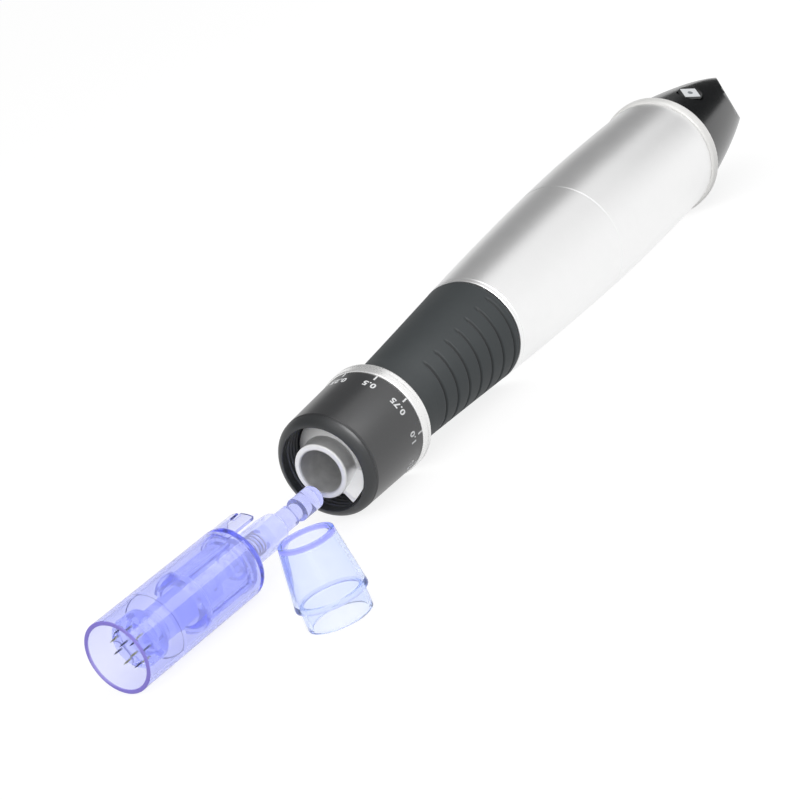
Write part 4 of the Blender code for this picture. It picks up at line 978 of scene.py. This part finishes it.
def makeTail():
    t = tail
    wall, reach = t["wall"], t["long"]
    spigot = [(t["spigot"], t["start"]), (t["spigot"], t["spigotFrom"]), (0, t["spigotFrom"])]
    shell = spun([(0, t["start"] + reach), *domeOutline(0), *spigot], t["steps"])
    shoulder = t["start"] + wall
    bore = t["spigot"] - t["spigotWall"]
    low = t["spigotFrom"] - t["over"]
    dome = domeOutline(wall)
    hollowLine = [(0, dome[0][1]), *[point for point in dome if point[1] > shoulder]]
    hollowLine += [(domeRadius(shoulder) - wall, shoulder), (bore, shoulder), (bore, low), (0, low)]
    inward = (slab((-reach, -reach, -wall), (reach, reach, reach)), cutFrame, "DIFFERENCE")
    hollow = carved(spun(hollowLine, t["steps"]), [inward])
    hole = plug(inlet["bush"] + inlet["gap"], -wall - t["over"], t["over"], inlet["steps"])
    oval = plug(1, button["cutFrom"], button["cutTo"], t["ovalSteps"])
    halves = [button[half] + button["gap"] for half in ("halfLong", "halfWide")]
    oval.transform(Matrix.Diagonal((*halves, 1, 1)))
    shell = carved(shell, [
        (slab((-reach, -reach, 0), (reach, reach, reach)), cutFrame, "DIFFERENCE"),
        (hollow, None, "DIFFERENCE"),
        (hole, inletFrame, "DIFFERENCE"),
        (oval, buttonFrame, "DIFFERENCE"),
    ])
    bmesh.ops.dissolve_limit(shell, angle_limit=t["flat"], verts=shell.verts, edges=shell.edges)
    face = cutFrame.inverted()

    def onRim(edge):
        return all(abs((face @ vert.co).z) < t["onFace"] for vert in edge.verts)

    shell = softened(shell, t["edge"], 3, 30, onRim)
    triangulated(shell)
    settle(shell, "tail_shell", tailBlack, "pen", "tail_cap", 30)


def makeButton():
    b = button
    halfWide = b["halfWide"] + b["flange"]
    inner = domeRadius(tail["start"] + b["at"] + b["halfLong"] + b["flange"]) - tail["wall"]
    seat = math.sqrt(inner**2 - halfWide**2) - b["gap"]
    top = domeRadius(tail["start"] + b["at"]) + b["proud"]
    low = seat - b["flangeThick"]
    flange = b["flangeShare"]
    line = [(0, top), *corner(b["topShare"] + b["round"], top, b["round"], 90)]
    shape = spun([*line, (1, seat), (flange, seat), (flange, low), (0, low)], b["steps"])
    for vert in shape.verts:
        # the round becomes an oval, and the flange stands the same width out all round it
        r = math.hypot(vert.co.x, vert.co.y)
        grow = b["flange"] if r > (1 + flange) / 2 else 0
        share = min(r, 1) / max(r, closeBy)
        vert.co.x = vert.co.x * share * (b["halfLong"] + grow)
        vert.co.y = vert.co.y * share * (b["halfWide"] + grow)
    shape.transform(buttonFrame)
    settle(shape, "button_cap", tailBlack, "button", "power_button", 40)

    thick = b["markProud"] * 2
    mark = bmesh.new()
    cylinder(mark, 1, 1, thick, lifted(top) @ Matrix.Diagonal((b["markLong"], b["markWide"], 1, 1)), 4)
    softened(mark, b["markRound"], 3, keep=lambda e: abs(e.verts[0].co.z - e.verts[1].co.z) > closeBy)
    mark.transform(buttonFrame)
    settle(mark, "button_mark", whitePlastic, "button", edge=40)
    dot = bmesh.new()
    place = lifted(top + b["markProud"] * b["dotShare"])
    cylinder(dot, b["dot"], b["dot"], thick, place, b["dotSides"])
    dot.transform(buttonFrame)
    settle(dot, "button_dot", dotGrey, "button")


def makeInlet():
    i = inlet
    bodyTop = -tail["wall"] - i["gap"]
    bodyEnd = bodyTop - i["bodyLong"]
    floor = i["proud"] - i["deep"]
    edge = i["round"]
    line = [
        (0, floor),
        (i["bore"], floor),
        *corner(i["bore"], i["proud"], edge, 180),
        *corner(i["bush"], i["proud"], edge, 90),
        (i["bush"], bodyTop),
        (i["body"], bodyTop),
        (i["body"], bodyEnd),
        (0, bodyEnd),
    ]
    shape = spun(line, i["steps"])
    shape.transform(inletFrame)
    settle(shape, "inlet_bush", blackPlastic, "pen", "dc_inlet", 35)
    share, tip, slope = i["pinTip"]
    top = -i["pinBack"]
    line = [(0, top), (i["pin"] * share, top - tip), (i["pin"], top - slope), (i["pin"], floor), (0, floor)]
    pin = spun(line, i["pinSteps"])
    pin.transform(inletFrame)
    settle(pin, "inlet_pin", brightMetal, "pen")


makeBarrel()
makeRim()
makeTail()
makeButton()
makeInlet()
print("barrel and tail made")


# cartridge
shell = dict(
    r=6.3, wall=0.7, long=30.1, back=1.0, round=1.3, hole=3.27, lip=0.12, armLong=4.6, armMid=-14.0,
    armHalf=46.0, armOuter=6.21, armWall=0.85, slotTurn=4.0, slotWide=0.7, slotLong=2.1, slotReach=1,
    armRoot=1.0, armRound=0.18, armSteps=24, stepAt=8.8, stepDeep=0.14, stepRises=(0.15, 0.6, 0.8),
    steps=128,
)


def makeShell():
    s = shell
    inner = s["r"] - s["wall"]
    innerRound = s["round"] - s["wall"]
    raised = inner - s["stepDeep"]
    front, middle, rear = (s["stepAt"] + rise for rise in s["stepRises"])
    outline = [
        (s["hole"], s["long"]),
        *corner(s["r"], s["long"], s["round"], 90, 8),
        *corner(s["r"], 0, s["lip"], 0),
        *corner(inner, 0, s["lip"], -90),
        (inner, s["stepAt"]),
        (raised, front),
        (raised, middle),
        (inner, rear),
        *arc(inner - innerRound, s["long"] - s["back"] - innerRound, innerRound, 0, 90, 6),
        (s["hole"], s["long"] - s["back"]),
    ]
    high = s["long"] + s["armLong"]
    armFrom = s["long"] - s["round"] - s["armRoot"]
    armInner = s["armOuter"] - s["armWall"]
    arm = sector(armInner, s["armOuter"], armFrom, high, s["armMid"], s["armHalf"], s["armSteps"])
    arm = softened(arm, s["armRound"], 2, 60)
    half = s["slotWide"] / 2
    slot = slab((armInner - 1, -half, high - s["slotLong"]), (s["armOuter"] + 1, half, high + s["slotReach"]))
    shape = carved(spun(outline, s["steps"]), [
        (arm, None, "UNION"),
        (slot, turned(s["slotTurn"], "Z"), "DIFFERENCE"),
    ])
    settle(shape, "cartridge_tube", shellClear, "cartridge", "cartridge_shell", 35)


core = dict(
    neck=2.97, neckWall=0.6, neckEnd=40.9, neckTip=2.72, neckEdge=0.1, taperFrom=38.4, disc=5.1,
    discFrom=27.5, discTo=28.8, edge=0.2, start=15.5, r=4.7, wall=1.1, stemHole=1.65,
    lip=((-0.05, 1.2), (0, 0.3), (-0.2, 0)), lipTo=1.3, ribs=4, ribOut=5.3, ribThick=0.7, ribTurn=35.0,
    ribSunk=0.4, ribFrom=0.6, ribRound=0.12, steps=96,
)


def makeCore():
    c = core
    neckBore = c["neck"] - c["neckWall"]
    bore = c["r"] - c["wall"]
    tip, edge = c["neckEdge"], c["edge"]
    outline = [
        *corner(c["neckTip"], c["neckEnd"], tip, 90, 2),
        (c["neck"], c["taperFrom"]),
        (c["neck"], c["discTo"]),
        *corner(c["disc"], c["discTo"], edge, 90, 2),
        *corner(c["disc"], c["discFrom"], edge, 0, 2),
        (c["r"], c["discFrom"]),
        (c["r"], c["start"] + c["lipTo"]),
        *[(c["ribOut"] + out, c["start"] + back) for out, back in c["lip"]],
        (bore, c["start"]),
        (bore, c["discFrom"]),
        (c["stemHole"], c["discFrom"]),
        (c["stemHole"], c["discTo"]),
        (neckBore, c["discTo"]),
        (neckBore, c["neckEnd"]),
    ]
    tools = []
    half, sunk = c["ribThick"] / 2, c["ribSunk"]
    ribFrom, ribTo = c["start"] + c["ribFrom"], c["discFrom"] + sunk
    for index in range(c["ribs"]):
        rib = slab((c["r"] - sunk, -half, ribFrom), (c["ribOut"], half, ribTo))
        turn = turned(c["ribTurn"] + 360 / c["ribs"] * index, "Z")
        tools.append((softened(rib, c["ribRound"], 2, 60), turn, "UNION"))
    shape = carved(spun(outline, c["steps"]), tools)
    settle(shape, "cartridge_core", innerClear, "cartridge", "cartridge_guide", 35)


stem = dict(
    r=1.35, collar=1.9, collarFrom=36.6, collarTo=45.3, collarRounds=(0.25, 0.15), knobFrom=46.9,
    knobTo=51.9, knob=2.1, knobRounds=(0.35, 0.3), waist=1.45, waistFrom=0.35, waistTo=0.2, body=3.0,
    bodyFrom=8.9, bodyTo=22.4, edge=0.2, front=7.3, steps=64,
)
head = dict(
    start=4.0, to=8.6, r=4.35, step=3.2, stepLong=1.6, socket=1.65, bevel=0.25, round=0.15, steps=72,
    rings=((9, 3.1), (3, 1.3)), needle=2.1, needleR=0.16, needleSunk=0.35, tipR=0.02, tipLong=0.7,
    needleSides=12, boss=0.34, bossShare=0.75, bossTall=0.22, bossSunk=0.3, bossSides=16,
)


def makeStem():
    s = stem
    knobRear, knobFront = s["knobRounds"]
    collarRear, collarFront = s["collarRounds"]
    outline = [
        (0, s["knobTo"]),
        *corner(s["knob"], s["knobTo"], knobRear, 90),
        *arc(s["knob"] - knobFront, s["knobFrom"] + knobFront, knobFront, 0, -60, 3),
        (s["waist"], s["knobFrom"] - s["waistTo"]),
        (s["waist"], s["collarTo"] + s["waistFrom"]),
        *arc(s["collar"] - collarRear, s["collarTo"] - collarRear, collarRear, 60, 0, 3),
        *corner(s["collar"], s["collarFrom"], collarFront, 0, 2),
        (s["r"], s["collarFrom"]),
        (s["r"], s["bodyTo"]),
        *corner(s["body"], s["bodyTo"], s["edge"], 90, 2),
        *corner(s["body"], s["bodyFrom"], s["edge"], 0, 2),
        (s["r"], s["bodyFrom"]),
        (s["r"], s["front"]),
        (0, s["front"]),
    ]
    settle(spun(outline, s["steps"]), "cartridge_stem", innerClear, "needles", "needle_carrier", 35)


def makeHead():
    h = head
    stepFrom = h["to"] - h["stepLong"]
    outline = [
        (h["socket"], h["to"]),
        (h["step"], h["to"]),
        (h["step"], stepFrom),
        *corner(h["r"], stepFrom, h["round"], 90, 2),
        (h["r"], h["start"] + h["bevel"]),
        (h["r"] - h["bevel"], h["start"]),
        (0, h["start"]),
        (0, stepFrom),
        (h["socket"], stepFrom),
    ]
    needles = bmesh.new()
    bosses = []
    r, shaft = h["needleR"], h["needle"] - h["tipLong"]
    sides = h["needleSides"]
    bossTall = h["bossTall"] + h["bossSunk"]
    for count, ring in h["rings"]:
        for index in range(count):
            angle = math.tau * (index + 0.5) / count
            spot = (ring * math.cos(angle), ring * math.sin(angle), h["start"])
            boss = bmesh.new()
            place = lifted((h["bossSunk"] - h["bossTall"]) / 2, spot)
            cylinder(boss, h["boss"] * h["bossShare"], h["boss"], bossTall, place, h["bossSides"])
            bosses.append((boss, None, "UNION"))
            cylinder(needles, r, r, shaft, lifted(h["needleSunk"] - shaft / 2, spot), sides)
            cylinder(needles, h["tipR"], r, h["tipLong"], lifted(-shaft, spot), sides)
    block = carved(spun(outline, h["steps"]), bosses)
    settle(block, "needle_block", innerClear, "needles", "needle_head", 35)
    settle(needles, "needles", needleSteel, "needles", edge=40)


def coil(r, wire, low, high, turns, sides=10, perTurn=28):
    shape = bmesh.new()
    ring = bmesh.ops.create_circle(
        shape, cap_ends=True, segments=sides, radius=wire,
        matrix=Matrix.Translation((r, 0, low)) @ turned(90, "X"),
    )
    face = ring["verts"][0].link_faces[0]
    count = turns * perTurn
    bmesh.ops.spin(
        shape, geom=[face, *face.edges, *face.verts], cent=(0, 0, 0), axis=(0, 0, 1),
        dvec=(0, 0, (high - low) / count), angle=math.tau * turns, steps=count,
    )
    bmesh.ops.recalc_face_normals(shape, faces=shape.faces)
    return shape


cartridgeCoil = dict(r=1.9, wire=0.15, low=29.3, high=36.1, turns=9, travel=3.9)
rodCoil = dict(r=2.6, wire=0.3, turns=7, travel=2.5)


def makeSpring(name, c, low, high, held, body, solid):
    # the spring keeps its full length; the share it would keep when squashed towards the held end is worked
    # out but not used
    shape = coil(c["r"], c["wire"], low, high, c["turns"])
    spring = settle(shape, name, springWire, body, solid, 60)
    place = places.get(body, penPlace)
    keep = (high - low - c["travel"]) / (high - low)
    place @ Vector((0, 0, held * mm))
    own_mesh(spring)


def makeSprings():
    c = cartridgeCoil
    makeSpring(
        "cartridge_coil", c, c["low"], c["high"], c["low"], "cartridge", "cartridge_spring"
    )
    back = penPlace.inverted()
    lean = math.tan(penLean) * (dialCentre.z / mm)
    near, far = [(back @ Vector((end.x, dialCentre.y, 0))).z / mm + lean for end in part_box("rod_spring")]
    low, high = near + rodCoil["wire"], far - rodCoil["wire"]
    print("rod spring from", round(low, 2), "to", round(high, 2))
    makeSpring("rod_coil", rodCoil, low, high, high, "drive", "rod_spring")


makeShell()
makeCore()
makeStem()
makeHead()
makeSprings()
print("cartridge made")


# cap
cap = dict(
    tall=13.7, collar=3.4, collarR=5.25, stepR=5.9, stepRound=0.25, stepTall=0.5, topR=4.5, wall=0.7,
    edge=0.12, footEdge=0.1, rise=((-0.2, 0), (-0.02, 0.25)), steps=128,
)


def makeCap():
    c = cap
    edge, foot = c["edge"], c["footEdge"]
    lean = (c["stepR"] - c["topR"]) / (c["tall"] - c["collar"])
    floor = c["collar"] + c["wall"]
    bore, topBore = c["collarR"] - c["wall"], c["topR"] - c["wall"]
    outline = [
        *corner(c["topR"] + edge * lean, c["tall"], edge, 90),
        (c["stepR"] - edge * lean, c["collar"] + c["stepTall"]),
        *corner(c["stepR"], c["collar"], c["stepRound"], 0),
        (c["collarR"], c["collar"]),
        *corner(c["collarR"], 0, foot, 0, 2),
        *corner(bore, 0, foot, -90, 2),
        (bore, floor),
        *[(c["stepR"] - c["wall"] + out, floor + up) for out, up in c["rise"]],
        (topBore, c["tall"] - edge),
        (topBore + edge, c["tall"]),
    ]
    settle(spun(outline, c["steps"]), "cap_sleeve", capClear, "cap", "protective_cap", 35)


makeCap()
print("cap made")


# hidden solids
hidden = {
    blackPlastic: ("grip_core", "motor_mount", "motor_end_bell", "board_carrier", "button_switch"),
    steel: (
        "ring_clip", "key_pin_near", "key_pin_far", "drive_rod", "motor_can", "motor_shaft",
        "mount_screw_near", "mount_screw_far", "cam_grub_screw",
    ),
    whitePlastic: ("rod_tip", "rod_foot", "oblique_cam"),
    softRubber: ("nozzle_seal", "motor_cushion"),
    magnetGrey: ("motor_magnet_upper", "motor_magnet_lower"),
    brass: ("rod_guide_bush",),
    copper: ("motor_armature",),
    boardGreen: ("circuit_board",),
}
for finish, nodes in hidden.items():
    for name in nodes:
        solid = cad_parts[name]
        solid.data.materials.clear()
        solid.data.materials.append(finish.material)
print("hidden solids finished")
